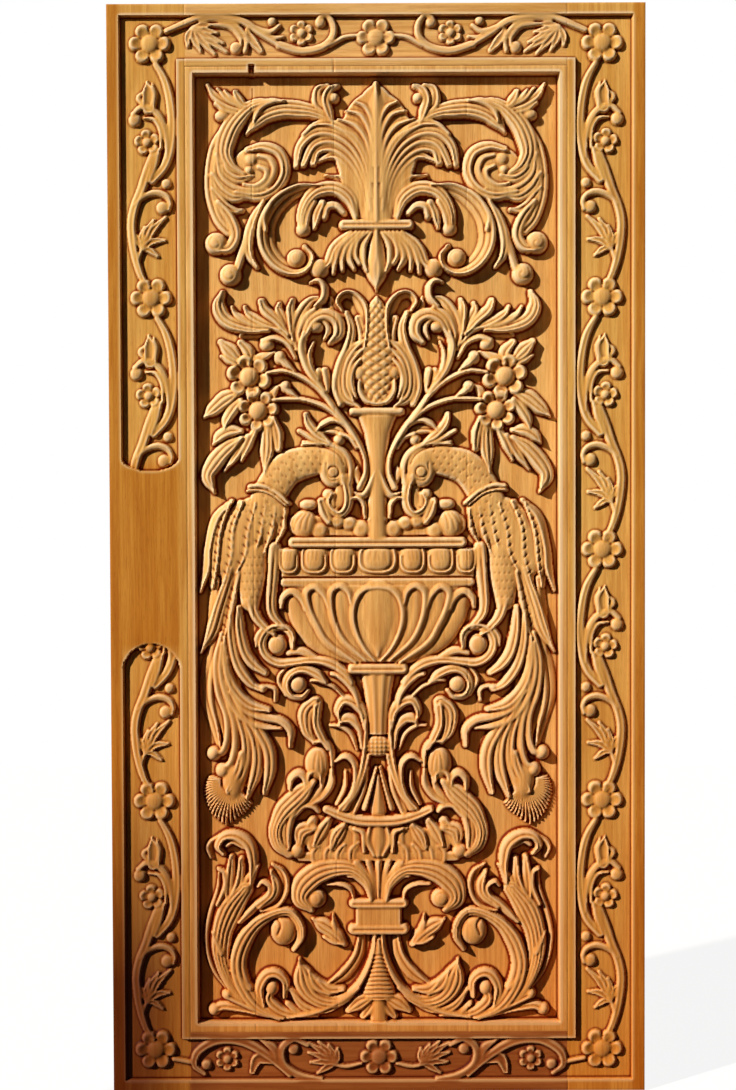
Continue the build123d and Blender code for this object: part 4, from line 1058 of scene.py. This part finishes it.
for i in range(VINE_LENGTHS):
    vine_length(i * VINE_PERIOD)
border.flower(225, VINE_TOP + VINE_LENGTHS * VINE_PERIOD, **BIG_FLOWER)
say("side vine", border)

# %% [markdown]
# On the top rail the vine is folded on the middle line like the panel, and its leaves fan out from a
# point, so a loop draws each fan from the list of its tips.

# %% Carve the vine of the top rail
gouge = border.stroke
gouge([(18, 31), (32, 33), (46, 41)], (4, 5, 4), "round", .8)
gouge([(56, 14), (48, 12), (42, 22), (44, 34), (55, 43), (75, 46), (96, 40)], (5, 7, 8, 8, 8), "left", .9)
border.ball(55, 18, 5.5, top=.95)
gouge([(92, 32), (103, 33), (115, 27)], (3, 6, 3), "left", .75)
gouge([(95, 41), (115, 28), (130, 18), (150, 12), (170, 11), (187, 17), (208, 26)],
      (5, 7, 8, 8, 7, 6), "left", .9)
gouge([(96, 21), (105, 27), (118, 24), (128, 17)], (4, 6, 6, 3), "left", .8)
border.ball(103, 17, 4.5, top=.9)
gouge([(128, 25), (123, 35), (114, 46)], (4, 9, 5), "scoop", .8)
gouge([(165, 20), (145, 22), (135, 33), (134, 42)], (3, 6, 6, 3), "left", .8)
gouge([(175, 16), (155, 15), (138, 22), (129, 35), (130, 46)], (4, 6, 6, 5), "left", .8)
border.ball(139, 43, 6, top=.95)
for tip in ((163, 20), (158, 28), (152, 38), (148, 47), (160, 49), (174, 46), (187, 41)):
    gouge([(182, 22), ((182 + tip[0]) / 2 + 2, (22 + tip[1]) / 2), tip], (3, 7, 3), "scoop", .8)
border.flower(74, 28.5, 6, 12.5, 4.8, top=.8)
border.flower(0, 33, 6, 19.5, 8.7, turn=.5)
say("head vine", border)

# %% [markdown]
# The bottom rail's vine is a cousin of the top one, and not its mirror image, because the real carver
# drew the two by hand. So it has its own strokes.

# %% Carve the vine of the bottom rail
gouge([(18, 1061), (34, 1064), (47, 1061)], (4, 5, 4), "round", .8)
for tip in ((42, 1046), (51, 1042), (61, 1039), (71, 1040), (71, 1050), (69, 1060), (62, 1071)):
    gouge([(42, 1061), ((42 + tip[0]) / 2, (1058 + tip[1]) / 2), tip], (3, 7, 3), "scoop", .8)
gouge([(72, 1042), (86, 1036), (98, 1046), (96, 1062), (80, 1073), (58, 1076)],
      (5, 8, 9, 8, 4), "left", .9)
border.ball(86, 1046, 6, top=.95)
gouge([(103, 1060), (106, 1046), (120, 1036)], (5, 9, 3), "left", .8)
gouge([(90, 1073), (110, 1054), (136, 1039), (162, 1037), (182, 1048), (186, 1062), (176, 1071)],
      (5, 9, 10, 10, 9, 5), "left", .9)
border.ball(174, 1062, 5.5, top=.95)
gouge([(108, 1058), (122, 1056), (128, 1069)], (8, 12, 6), "scoop", .8)
gouge([(186, 1060), (207, 1056)], (5, 5), "round", .8)
border.flower(153, 1056, 6, 12.5, 4.9, top=.8)
border.flower(0, 1054, 6, 19.5, 8.7, turn=.5)
say("foot vine", border)

# %% [markdown]
# No chisel leaves a perfectly sharp height step, and hands and years round the wood further. Softening
# the whole field over a few cells does that for every edge at once. The same blur, run wider, later tells
# hollows from crests.

# %% Soften the field
def blurred(field, reach):
    """The field, softened over a few cells in both directions."""
    weights = np.exp(-0.5 * (np.arange(-3 * reach, 3 * reach + 1) / reach) ** 2)
    weights = (weights / weights.sum()).astype(np.float32)
    for axis in (0, 1):
        pad = [(0, 0), (0, 0)]
        pad[axis] = (len(weights) // 2,) * 2
        padded = np.pad(field, pad, mode="edge")
        size = field.shape[axis]
        field = sum(w * np.take(padded, range(i, i + size), axis) for i, w in enumerate(weights))
    return field


soft_panel = np.clip(blurred(panel.h, 1), 0, 1)
soft_border = np.clip(blurred(border.h, 1), 0, 1)
print("softened, mean height of the panel's grid", round(float(soft_panel.mean()), 3))

# %% [markdown]
# Heights become depths below the face in metres. Wood that isn't carved stays at full height: the rim,
# the margins between the grounds and, on the left, the plain field for a lock. That field ends in a bow
# at both ends, so the left half gets a depth field of its own.

# %% Turn heights into depths
u, v = np.meshgrid(us, vs)
in_recess = (np.abs(u) < RECESS_U) & (v > RECESS_TOP) & (v < RECESS_FOOT)
high_band = (v > BAND_HEAD[0]) & (v < BAND_HEAD[1])
low_band = (v > BAND_FOOT[0]) & (v < BAND_FOOT[1])
side_band = (np.abs(u) > BAND_INNER) & (v > BAND_HEAD[0]) & (v < BAND_FOOT[1])
in_band = (np.abs(u) < BAND_OUTER) & (high_band | low_band | side_band)
plain_depth = np.zeros(u.shape, np.float32)
plain_depth[in_recess] = PANEL_DEPTH * (1 - soft_panel[in_recess])
plain_depth[in_band] = BAND_DEPTH * (1 - soft_border[in_band])
locked_depth = plain_depth.copy()
middle, half = (BAND_INNER + BAND_OUTER) / 2, (BAND_OUTER - BAND_INNER) / 2
bow = half - np.sqrt(np.clip(half ** 2 - (u - middle) ** 2, 0, None))
locked_depth[side_band & (v > FIELD_HEAD - bow * 0.5) & (v < FIELD_FOOT + bow)] = 0
print("carved field", plain_depth.shape, "deepest", round(float(plain_depth.max()) * 1000, 1), "mm")

# %% [markdown]
# An old leaf has small wounds. A chip is out of the upper margin, a drying crack starts under it, and a
# joint between two pieces of wood has opened to a hairline. They are narrow strips of the left half's
# field.

# %% Add the chip, the crack and the hairline
CHIP_DEPTH = 0.011
CRACK_DEPTH = 0.003
HAIRLINE_DEPTH = 0.001


def strip(middle, half, top, foot):
    """The squares of a narrow upright strip."""
    return (np.abs(u - middle) < half) & (v > top) & (v < foot)


locked_depth[strip(124, 2.6, 60, 70)] = CHIP_DEPTH
locked_depth[strip(124, 0.8, 80, 96)] += CRACK_DEPTH
locked_depth[strip(42, 0.6, BAND_HEAD[1], RECESS_TOP)] += HAIRLINE_DEPTH
print("marks cover", int((locked_depth != plain_depth)[v < 100].sum()), "points of the left half")

# %% [markdown]
# The mesh has its own even steps, so it has to ask for the field between its points. A wide blur beside
# it gives the height around each point, and the difference of the two says what is a hollow and what is a
# crest.

# %% Read the field anywhere
WIDE = 3
wide_plain = blurred(plain_depth, WIDE)
wide_locked = blurred(locked_depth, WIDE)


def read(field, u, v):
    """The field's value between its grid points."""
    x = np.clip((u - us[0]) / FINE, 0, len(us) - 1.001)
    y = np.clip((v - vs[0]) / FINE, 0, len(vs) - 1.001)
    i, j = x.astype(int), y.astype(int)
    fx, fy = x - i, y - j
    low = field[j, i] * (1 - fx) + field[j, i + 1] * fx
    high = field[j + 1, i] * (1 - fx) + field[j + 1, i + 1] * fx
    return low * (1 - fy) + high * fy


sample = read(plain_depth, np.array([0.25]), np.array([300.25]))
print("the middle of the cone lies", round(float(sample[0]) * 1000, 1), "mm below the face")

# %% [markdown]
# Each board, stile and rail keeps its CAD solid behind the sunk ground, with its tongues, grooves, tenons
# and mortises. Only the wood in front of that level is exchanged. The bisect_plane operator cuts a copy
# of the solid there, and holes_fill closes it again.

# %% Cut the solid behind the ground
# the cut lies this much behind the sunk ground, so that the two never share a plane
DEEPER = 0.0001


def back_of(node, level):
    """A closed copy of the CAD solid behind a level, and the corners of the face it is cut at."""
    bm = bmesh.new()
    bm.from_mesh(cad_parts[node].data)
    bmesh.ops.remove_doubles(bm, verts=bm.verts, dist=1e-6)
    cut = bmesh.ops.bisect_plane(bm, geom=bm.verts[:] + bm.edges[:] + bm.faces[:],
                                 plane_co=(0, level, 0), plane_no=(0, 1, 0), clear_inner=True)
    rim = [g for g in cut["geom_cut"] if isinstance(g, bmesh.types.BMVert)]
    bmesh.ops.holes_fill(bm, edges=[e for e in bm.edges if e.is_boundary], sides=0)
    xs = [v.co.x for v in rim]
    zs = [v.co.z for v in rim]
    return bm, (min(xs), max(xs), min(zs), max(zs))


bm, corners = back_of("top_rail", FACE + BAND_DEPTH + DEEPER)
print("the top rail is cut between", [round(c, 3) for c in corners], "m")
bm.free()

# %% [markdown]
# An even grid would let a sharp wall run slanting from one line to the next. So the two lines beside each
# edge of the grounds are pulled together onto it, and the wall stands nearly upright without a finer grid
# everywhere.

# %% Set the grid's lines on the sharp edges
GRID_STEP = 0.00225
# half the room between the two lines of a pair
SHARP = 0.0004
EDGES_X = [side * u * SQUARE_X for u in (RECESS_U, BAND_INNER, BAND_OUTER) for side in (-1, 1)]
EDGES_Z = [HEAD - v * SQUARE_Z for v in (*BAND_HEAD, RECESS_TOP, RECESS_FOOT, *BAND_FOOT)]


def grid_lines(low, high, steps, edges):
    """Even lines, but with a close pair of them on each sharp edge of the grounds."""
    lines = np.linspace(low, high, steps + 1)
    for edge in edges:
        k = np.searchsorted(lines, edge)
        if 1 < k < steps:
            lines[k - 1], lines[k] = edge - SHARP, edge + SHARP
    return lines


panel_columns = round(2 * RECESS_U * SQUARE_X / GRID_STEP)
print("a step of", GRID_STEP * 1000, "mm gives the panel", panel_columns, "columns")

# %% [markdown]
# Hands and weather have browned the flat face along the rim and on the plain field for the lock. The
# finish has to know where that is, so a number from 0 to 1 is worked out for each point of the mesh.

# %% Mark where the face was handled
def handled(u, v):
    """1 along the rim and on the plain field for the lock, and 0 elsewhere, with soft borders."""
    rim = np.clip((np.abs(u) - BAND_OUTER + 1) / 2, 0, 1)
    field = np.clip((-u - BAND_INNER + 2) / 4, 0, 1) * np.clip((v - FIELD_HEAD + 16) / 16, 0, 1)
    return np.maximum(rim, field * np.clip((FIELD_FOOT + 16 - v) / 16, 0, 1))


print("handled at the rim", float(handled(265, 500)), "and on the panel", float(handled(0, 500)))

# %% [markdown]
# The carved front is a sheet from create_grid, laid upright on the face. Its points take the depths of
# the field, and its rim is eased a little, as boards have at their joints. Reading the field for all
# points at once is far quicker than one by one.

# %% Lay a carved sheet
JOINT_EASE = 0.0007
# the sheet stays at least this much in front of the cut
LEAST_WOOD = 0.0005
# a point this much deeper than the wood round it counts as a full hollow
HOLLOW_FULL = 0.002
NEARLY = 1e-5


def carved_sheet(corners, level):
    """The face of a piece with the carving on it, and the notes at each point for its painted shade, painted
    highlight and handled places.
    """
    x0, x1, z0, z1 = corners
    across, down = round((x1 - x0) / GRID_STEP), round((z1 - z0) / GRID_STEP)
    bm = bmesh.new()
    bmesh.ops.create_grid(bm, x_segments=across, y_segments=down, size=0.5)
    place = Matrix(((x1 - x0, 0, 0, (x0 + x1) / 2), (0, 0, -1, FACE),
                    (0, z1 - z0, 0, (z0 + z1) / 2), (0, 0, 0, 1)))
    bmesh.ops.transform(bm, matrix=place, verts=bm.verts)
    sheet = bpy.data.meshes.new("sheet")
    bm.to_mesh(sheet)
    bm.free()
    co = np.empty(len(sheet.vertices) * 3)
    sheet.vertices.foreach_get("co", co)
    co = co.reshape(-1, 3)
    columns = grid_lines(x0, x1, across, EDGES_X)
    rows = grid_lines(z0, z1, down, EDGES_Z)
    co[:, 0] = columns[np.rint((co[:, 0] - x0) / (x1 - x0) * across).astype(int)]
    co[:, 2] = rows[np.rint((co[:, 2] - z0) / (z1 - z0) * down).astype(int)]
    u = co[:, 0] / SQUARE_X
    v = (HEAD - co[:, 2]) / SQUARE_Z
    depth = np.where(u < 0, read(locked_depth, -u, v), read(plain_depth, u, v))
    around = np.where(u < 0, read(wide_locked, -u, v), read(wide_plain, u, v))
    rim = (co[:, 0] < x0 + NEARLY) | (co[:, 0] > x1 - NEARLY)
    rim |= (co[:, 2] < z0 + NEARLY) | (co[:, 2] > z1 - NEARLY)
    co[:, 1] = np.minimum(FACE + depth + JOINT_EASE * rim, level - LEAST_WOOD)
    sheet.vertices.foreach_set("co", co.ravel())
    return sheet, {"hollow": np.clip((depth - around) / HOLLOW_FULL, -1, 1), "handled": handled(u, v)}


sheet, notes = carved_sheet(corners, FACE + BAND_DEPTH + DEEPER)
print("the top rail's sheet has", len(sheet.vertices), "points and the notes", list(notes))
bpy.data.meshes.remove(sheet)

# %% [markdown]
# A sheet alone is no wood. Its rim is extruded back to the cut, and the back is closed, so that the front
# is a solid block. The notes for the painted shade, the painted highlight and the handled places become
# attributes of the vertices, which a material can read.

# %% Close the sheet to a block
def carved_front(corners, level):
    """A closed block in front of a level, with the carving on its face."""
    sheet, notes = carved_sheet(corners, level)
    bm = bmesh.new()
    bm.from_mesh(sheet)
    bpy.data.meshes.remove(sheet)
    layers = [bm.verts.layers.float.new(key) for key in notes]
    for vert, values in zip(bm.verts, np.transpose(list(notes.values()))):
        for layer, value in zip(layers, values):
            vert[layer] = value
    skirt = bmesh.ops.extrude_edge_only(bm, edges=[e for e in bm.edges if e.is_boundary])["geom"]
    for vert in (g for g in skirt if isinstance(g, bmesh.types.BMVert)):
        vert.co.y = level
    bmesh.ops.holes_fill(bm, edges=[e for e in bm.edges if e.is_boundary], sides=0)
    return bm


bm = carved_front(corners, FACE + BAND_DEPTH + DEEPER)
open_edges = sum(e.is_boundary for e in bm.edges)
print("the top rail's block has", len(bm.faces), "faces and", open_edges, "open edges")
bm.free()

# %% [markdown]
# Back and front are joined in one mesh, which stands for the CAD node. Carved wood is soft from form to
# form but crisp where a tool left an arris, so faces are smooth and only edges past a set angle stay
# sharp.

# %% Join back and front
CREASE = radians(50)


def carved_piece(node, ground):
    """The piece that stands for a CAD node: its own back, and the carved front."""
    level = FACE + ground + DEEPER
    bm, corners = back_of(node, level)
    front = carved_front(corners, level)
    mesh = bpy.data.meshes.new("carved_" + node)
    front.to_mesh(mesh)
    front.free()
    bm.from_mesh(mesh)
    bmesh.ops.recalc_face_normals(bm, faces=bm.faces)
    for face in bm.faces:
        face.smooth = True
    for edge in bm.edges:
        edge.smooth = edge.is_manifold and edge.calc_face_angle(0) < CREASE
    bm.to_mesh(mesh)
    bm.free()
    piece = bpy.data.objects.new("carved_" + node, mesh)
    bpy.context.scene.collection.objects.link(piece)
    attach(piece, "root")
    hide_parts(node)
    return piece


print("edges past", round(float(np.degrees(CREASE))), "degrees stay sharp")

# %% [markdown]
# The panel is glued up from four boards, and the frame has two stiles and two rails. Each becomes a piece of
# its own, with its own grain later, so that the joints between them show as fine lines as they do in wood.
# One loop carves all eight, because only the depth of the ground and the kind of piece differ.

# %% Carve the boards and the frame
BOARDS = ["panel_board_1", "panel_board_2", "panel_board_3", "panel_board_4"]
MEMBERS = ["lock_stile", "hinge_stile", "bottom_rail", "top_rail"]
pieces = {}
for name in BOARDS + MEMBERS:
    pieces[name] = carved_piece(name, PANEL_DEPTH if name in BOARDS else BAND_DEPTH)
total = sum(len(p.data.loop_triangles) or len(p.data.polygons) * 2 for p in pieces.values())
print("carved pieces", len(pieces), "with about", total, "triangles")

# %% [markdown]
# Colours are written as a painter's hex codes, which are sRGB, while Blender's nodes count in linear
# light. One function turns one into the other. A second one adds any node with its settings and links in
# a single line, so that a material reads like a list of its layers.

# %% Helpers for materials
def linear(code):
    """An sRGB hex colour as the linear one that Blender's nodes take."""
    channels = [int(code[i:i + 2], 16) / 255 for i in (1, 3, 5)]
    return (*[c / 12.92 if c <= 0.04045 else ((c + 0.055) / 1.055) ** 2.4 for c in channels], 1)


def add(tree, kind, links=None, **settings):
    """Adds a node, sets its properties and inputs, and links other sockets to its inputs."""
    node = tree.nodes.new(kind)
    for key, value in settings.items():
        if hasattr(node, key):
            setattr(node, key, value)
        else:
            node.inputs[key.replace("_", " ")].default_value = value
    for socket, source in (links or {}).items():
        tree.links.new(source, node.inputs[socket])
    return node


def tinted(tree, colour, where, none_at, full_at, strength, code, blend="MULTIPLY"):
    """A colour with a tint over it, used for stains and for painted shade and highlight: none where a value
    is at none_at, and the set strength at full_at.
    """
    amount = add(tree, "ShaderNodeMapRange", {"Value": where},
                 From_Min=none_at, From_Max=full_at, To_Min=0.0, To_Max=strength)
    layer = add(tree, "ShaderNodeMix", {"A": colour, "Factor": amount.outputs[0]},
                data_type="RGBA", blend_type=blend, B=linear(code))
    return layer.outputs["Result"]


print("teak brown #C48A48 in linear light", [round(c, 3) for c in linear("#C48A48")])

# %% [markdown]
# Teak is a golden brown wood with straight grain. The eye sees three sizes of pattern in it: soft bands
# of growth about 40 mm wide, grain lines every few millimetres, and fine dark pores. Each is noise
# stretched along the grain and scaled from its real size. Real pores are finer than the picture can show,
# so they are drawn as coarse as they need to be to show at all.

# %% Growth of the wood
FIGURE_MM = 38
GRAIN_MM = 5.5
PORE_MM = 0.9


def growth(tree, place, shift, lying):
    """Figure, grain lines and pores, running up the piece, or along it where it lies."""
    turn = (0, radians(90), 0) if lying else (0, 0, 0)
    along = add(tree, "ShaderNodeMapping", {"Vector": place.outputs["Object"]},
                Location=shift, Rotation=turn)

    def grain(size, length, detail, distortion=0.0):
        scale = add(tree, "ShaderNodeMapping", {"Vector": along.outputs[0]},
                    Scale=(1000 / size, 1000 / size, 1000 / (size * length)))
        return add(tree, "ShaderNodeTexNoise", {"Vector": scale.outputs[0]}, Scale=1.0, Detail=detail,
                   Roughness=0.55, Distortion=distortion).outputs["Fac"]

    return grain(FIGURE_MM, 9, 3, 0.6), grain(GRAIN_MM, 30, 4, 0.4), grain(PORE_MM, 24, 2)


print("bands every", FIGURE_MM, "mm, grain every", GRAIN_MM, "mm, pores every", PORE_MM, "mm")

# %% [markdown]
# The hollows of the carving get painted shade in red-brown, and the crests a pale painted highlight. The
# attribute "hollow" says which is which. Where hands touch the flat face it has browned, which the
# attribute "handled" says. Both follow the carving itself, so no picture is needed.

# %% Painted shade, painted highlight and handling that follow the carving
def painted_light_and_handling(tree, colour):
    """The colour with painted shade in its hollows, a painted highlight on its crests and its handled places
    browned.
    """
    relief = add(tree, "ShaderNodeAttribute", attribute_name="hollow").outputs["Fac"]
    # painted shade: the hollows of the carving are darkened to red-brown
    colour = tinted(tree, colour, relief, 0.06, 0.8, 1.0, "#8A3C1A")
    # painted highlight: the crests are mixed towards pale cream
    colour = tinted(tree, colour, relief, -0.04, -0.7, 0.55, "#FAE6C6", "MIX")
    touched = add(tree, "ShaderNodeAttribute", attribute_name="handled").outputs["Fac"]
    return tinted(tree, colour, touched, 0.0, 1.0, 1.0, "#E6CDA0")


print("hollows, crests and handled places are told apart, full at", HOLLOW_FULL * 1000, "mm of relief")

# %% [markdown]
# The wood is redder towards the foot, and on the lock side the low corner is nearly black-brown. The
# height above the floor and the place across say how far.

# %% Redder and darker towards the foot
REDDER_FROM = 1.25
CORNER_X = (-0.30, -0.46)
CORNER_Z = (0.66, 0.22)


def redder_and_darker_low(tree, colour, place):
    """The colour, redder towards the foot and darkest low on the lock side."""
    axes = add(tree, "ShaderNodeSeparateXYZ", {"Vector": place.outputs["Object"]})
    colour = tinted(tree, colour, axes.outputs["Z"], REDDER_FROM, 0.0, 1.0, "#E6BE98")
    left = add(tree, "ShaderNodeMapRange", {"Value": axes.outputs["X"]},
               From_Min=CORNER_X[0], From_Max=CORNER_X[1])
    low = add(tree, "ShaderNodeMapRange", {"Value": axes.outputs["Z"]},
              From_Min=CORNER_Z[0], From_Max=CORNER_Z[1])
    corner = add(tree, "ShaderNodeMath", {0: left.outputs[0], 1: low.outputs[0]}, operation="MULTIPLY")
    return tinted(tree, colour, corner.outputs[0], 0.0, 1.0, 1.0, "#826C78")


print("weather starts", REDDER_FROM, "m up, and the dark corner", CORNER_Z[0], "m up")

# %% [markdown]
# Old oiled teak has a satin surface. It scatters most light, so its highlight is broad and faint: the
# roughness is in the middle and the specular level low. The grain stands a fraction of a millimetre
# proud, which a bump can show without more mesh. Each piece shifts the pattern, because no two are cut
# from the same plank.

# %% Oiled teak
GRAIN_HEIGHT = 0.0004


def teak(name, pale, deep, shift, lying=False):
    """Oiled teak: satin, golden brown, with its grain up the piece or along it where it lies."""
    mat = bpy.data.materials.new(name)
    mat.use_nodes = True
    tree = mat.node_tree
    shader = tree.nodes["Principled BSDF"]
    place = add(tree, "ShaderNodeTexCoord")
    figure, lines, pores = growth(tree, place, shift, lying)
    band = add(tree, "ShaderNodeMapRange", {"Value": figure}, From_Min=0.3, From_Max=0.7)
    base = add(tree, "ShaderNodeMix", {"Factor": band.outputs[0]},
               data_type="RGBA", A=linear(deep), B=linear(pale))
    colour = tinted(tree, base.outputs["Result"], lines, 0.62, 0.38, 0.36, "#C48A48")
    colour = tinted(tree, colour, pores, 0.44, 0.30, 0.30, "#8A5426")
    colour = redder_and_darker_low(tree, painted_light_and_handling(tree, colour), place)
    tree.links.new(colour, shader.inputs["Base Color"])
    height = add(tree, "ShaderNodeMath", {0: lines, 1: pores}, operation="ADD")
    bump = add(tree, "ShaderNodeBump", {"Height": height.outputs[0]}, Strength=0.2, Distance=GRAIN_HEIGHT)
    tree.links.new(bump.outputs[0], shader.inputs["Normal"])
    shader.inputs["Roughness"].default_value = 0.5
    shader.inputs["Specular IOR Level"].default_value = 0.05
    return mat


def finish_in(piece, mat):
    """Gives a piece one material."""
    piece.data.materials.clear()
    piece.data.materials.append(mat)


for i, name in enumerate(BOARDS):
    finish_in(pieces[name], teak("oiled_teak_" + name, "#F0C27C", "#E0A85E", (i * 0.7, 0, i * 1.3)))
print("boards finished:", [p.data.materials[0].name for p in pieces.values() if p.data.materials])

# %% [markdown]
# The frame is a little darker than the panel. The bottom rail is darker and redder, and the top rail is from
# a paler plank, and in both the grain lies across the door. The wedges show only their ends in the edges of
# the stiles, and the tongues between the boards are hidden. So those CAD nodes keep their shapes and only
# get their wood.

# %% Finish the frame, the wedges and the tongues
RAIL_TONES = {"bottom_rail": ("#B07A4C", "#925A36"), "top_rail": ("#EEC080", "#DAA85E")}
for i, name in enumerate(MEMBERS):
    pale, deep = RAIL_TONES.get(name, ("#E8B868", "#D69E4C"))
    shift = (3 + i * 0.9, 0, i * 2.1)
    finish_in(pieces[name], teak("oiled_teak_" + name, pale, deep, shift, lying="rail" in name))
end_grain = teak("sawn_teak_wedge", "#C89A5C", "#A06C34", (9, 0, 4), lying=True)
for name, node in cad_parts.items():
    if name not in pieces:
        finish_in(node, end_grain)
print("kept as they are:", [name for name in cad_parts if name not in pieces])

# %% [markdown]
# The door was photographed square on, in hard sun from the upper left. Carving lives on its shadows, so
# the lamp that stands for the sun must come from there and be small. A weaker and softer lamp behind
# shows the back to whoever walks round the door.

# %% Sun and back light
SUN_TRAVELS = (0.72, 0.53, -0.51)
BACK_TRAVELS = (-0.45, -0.75, -0.48)


def sun(name, travels, strength, angle, colour):
    """A distant lamp, from the direction its light travels in and the angle it fills in the sky."""
    lamp = bpy.data.lights.new(name, "SUN")
    lamp.energy = strength
    lamp.angle = radians(angle)
    lamp.color = linear(colour)[:3]
    holder = bpy.data.objects.new(name, lamp)
    holder.rotation_euler = Vector(travels).to_track_quat("-Z", "Y").to_euler()
    bpy.context.scene.collection.objects.link(holder)


sun("sun", SUN_TRAVELS, strength=5.6, angle=1.5, colour="#FFF6E4")
sun("back_fill", BACK_TRAVELS, strength=2.6, angle=25, colour="#FFFFFF")
sun_height = np.degrees(np.arcsin(-SUN_TRAVELS[2] / Vector(SUN_TRAVELS).length))
print("the sun stands", round(float(sun_height), 1), "degrees up")

# %% [markdown]
# The background is plain white, but a white world would also fill every shadow. The Light Path node tells
# rays that see the background from rays that light the wood: the first kind meets white, and the second
# only a dim warm sky. Mirrors and glass near the door would see the white too.

# %% Backdrop
def straight_rays(tree):
    """1 for rays that see the surface itself, also in a mirror or through glass, and 0 for its light."""
    rays = add(tree, "ShaderNodeLightPath")
    seen = add(tree, "ShaderNodeMath", {0: rays.outputs["Is Camera Ray"],
                                        1: rays.outputs["Is Glossy Ray"]}, operation="MAXIMUM")
    seen = add(tree, "ShaderNodeMath", {0: seen.outputs[0], 1: rays.outputs["Is Transmission Ray"]},
               operation="MAXIMUM")
    return seen.outputs[0]


world = bpy.data.worlds.new("pale_studio")
bpy.context.scene.world = world
world.use_nodes = True
tree = world.node_tree
tree.nodes.clear()
sky = add(tree, "ShaderNodeBackground", Color=linear("#FFE9CF"), Strength=0.008)
white = add(tree, "ShaderNodeBackground", Color=linear("#FFFFFF"), Strength=1.0)
both = add(tree, "ShaderNodeMixShader", {0: straight_rays(tree), 1: sky.outputs[0], 2: white.outputs[0]})
add(tree, "ShaderNodeOutputWorld", {"Surface": both.outputs[0]})
print("world", world.name, "has", len(tree.nodes), "nodes")

# %% [markdown]
# The floor is matt white paint that meets the backdrop without a line. It is mostly glow for rays that
# see it, keeps the door's shadow in the rest, and is dark for the light it throws back, because a lit
# white floor would wash out the shadows low on the carving.

# %% Floor
FLOOR_HALF = 4
FLOOR_GAP = 0.002
GLOW_SHARE = 0.85
bm = bmesh.new()
bmesh.ops.create_grid(bm, x_segments=1, y_segments=1, size=FLOOR_HALF)
bmesh.ops.translate(bm, verts=bm.verts, vec=(0, 0, cad_low[2] - FLOOR_GAP))
mesh = bpy.data.meshes.new("floor")
bm.to_mesh(mesh)
bm.free()
floor = bpy.data.objects.new("floor", mesh)
bpy.context.scene.collection.objects.link(floor)
floor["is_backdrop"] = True
paint = bpy.data.materials.new("matt_white_paint")
paint.use_nodes = True
tree = paint.node_tree
tree.nodes.clear()
seen = straight_rays(tree)
tone = add(tree, "ShaderNodeMix", {"Factor": seen},
           data_type="RGBA", A=linear("#303030"), B=linear("#F3F3F3"))
matt = add(tree, "ShaderNodeBsdfDiffuse", {"Color": tone.outputs["Result"]})
glow = add(tree, "ShaderNodeEmission", Color=linear("#FFFFFF"), Strength=1.0)
share = add(tree, "ShaderNodeMath", {0: seen}, operation="MULTIPLY")
share.inputs[1].default_value = GLOW_SHARE
both = add(tree, "ShaderNodeMixShader", {0: share.outputs[0], 1: matt.outputs[0], 2: glow.outputs[0]})
add(tree, "ShaderNodeOutputMaterial", {"Surface": both.outputs[0]})
mesh.materials.append(paint)
print("floor", 2 * FLOOR_HALF, "m wide,", FLOOR_GAP * 1000, "mm below the door")

# %% [markdown]
# The camera stands where the photograph was taken from, 3.2 m in front of the door and a little above its
# middle. Its lens follows from the size of the door in the picture: a focal length counted in pixels,
# over the picture's height, times the height of the sensor. The slight roll is in the photograph.

# %% Camera
CAMERA_AT = (-0.0167, -3.2, 1.1589)
AIMED_AT = (-0.0186, 0.0, 1.0797)
ROLL = -0.0034
FOCAL_PIXELS = 1619
PICTURE_HEIGHT = 1090
eye = bpy.data.cameras.new("camera")
eye.sensor_fit = "VERTICAL"
eye.sensor_height = 24
eye.lens = FOCAL_PIXELS / PICTURE_HEIGHT * eye.sensor_height
holder = bpy.data.objects.new("camera", eye)
look = (Vector(AIMED_AT) - Vector(CAMERA_AT)).to_track_quat("-Z", "Y").to_matrix().to_4x4()
holder.matrix_world = Matrix.Translation(CAMERA_AT) @ look @ Matrix.Rotation(ROLL, 4, "Z")
bpy.context.scene.collection.objects.link(holder)
bpy.context.scene.camera = holder
bpy.context.scene.view_settings.view_transform = "Standard"
print("lens", round(eye.lens, 1), "mm on a sensor", eye.sensor_height, "mm high")

# %% [markdown]
# At the end the dressed leaf is measured. The carved front stays inside the box of the real part, and the
# size of each box is printed, the CAD one at the start and the dressed one here.

# %% Finish
low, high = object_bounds()
print("dressed leaf", [round(b - a, 4) for a, b in zip(low, high)], "m")
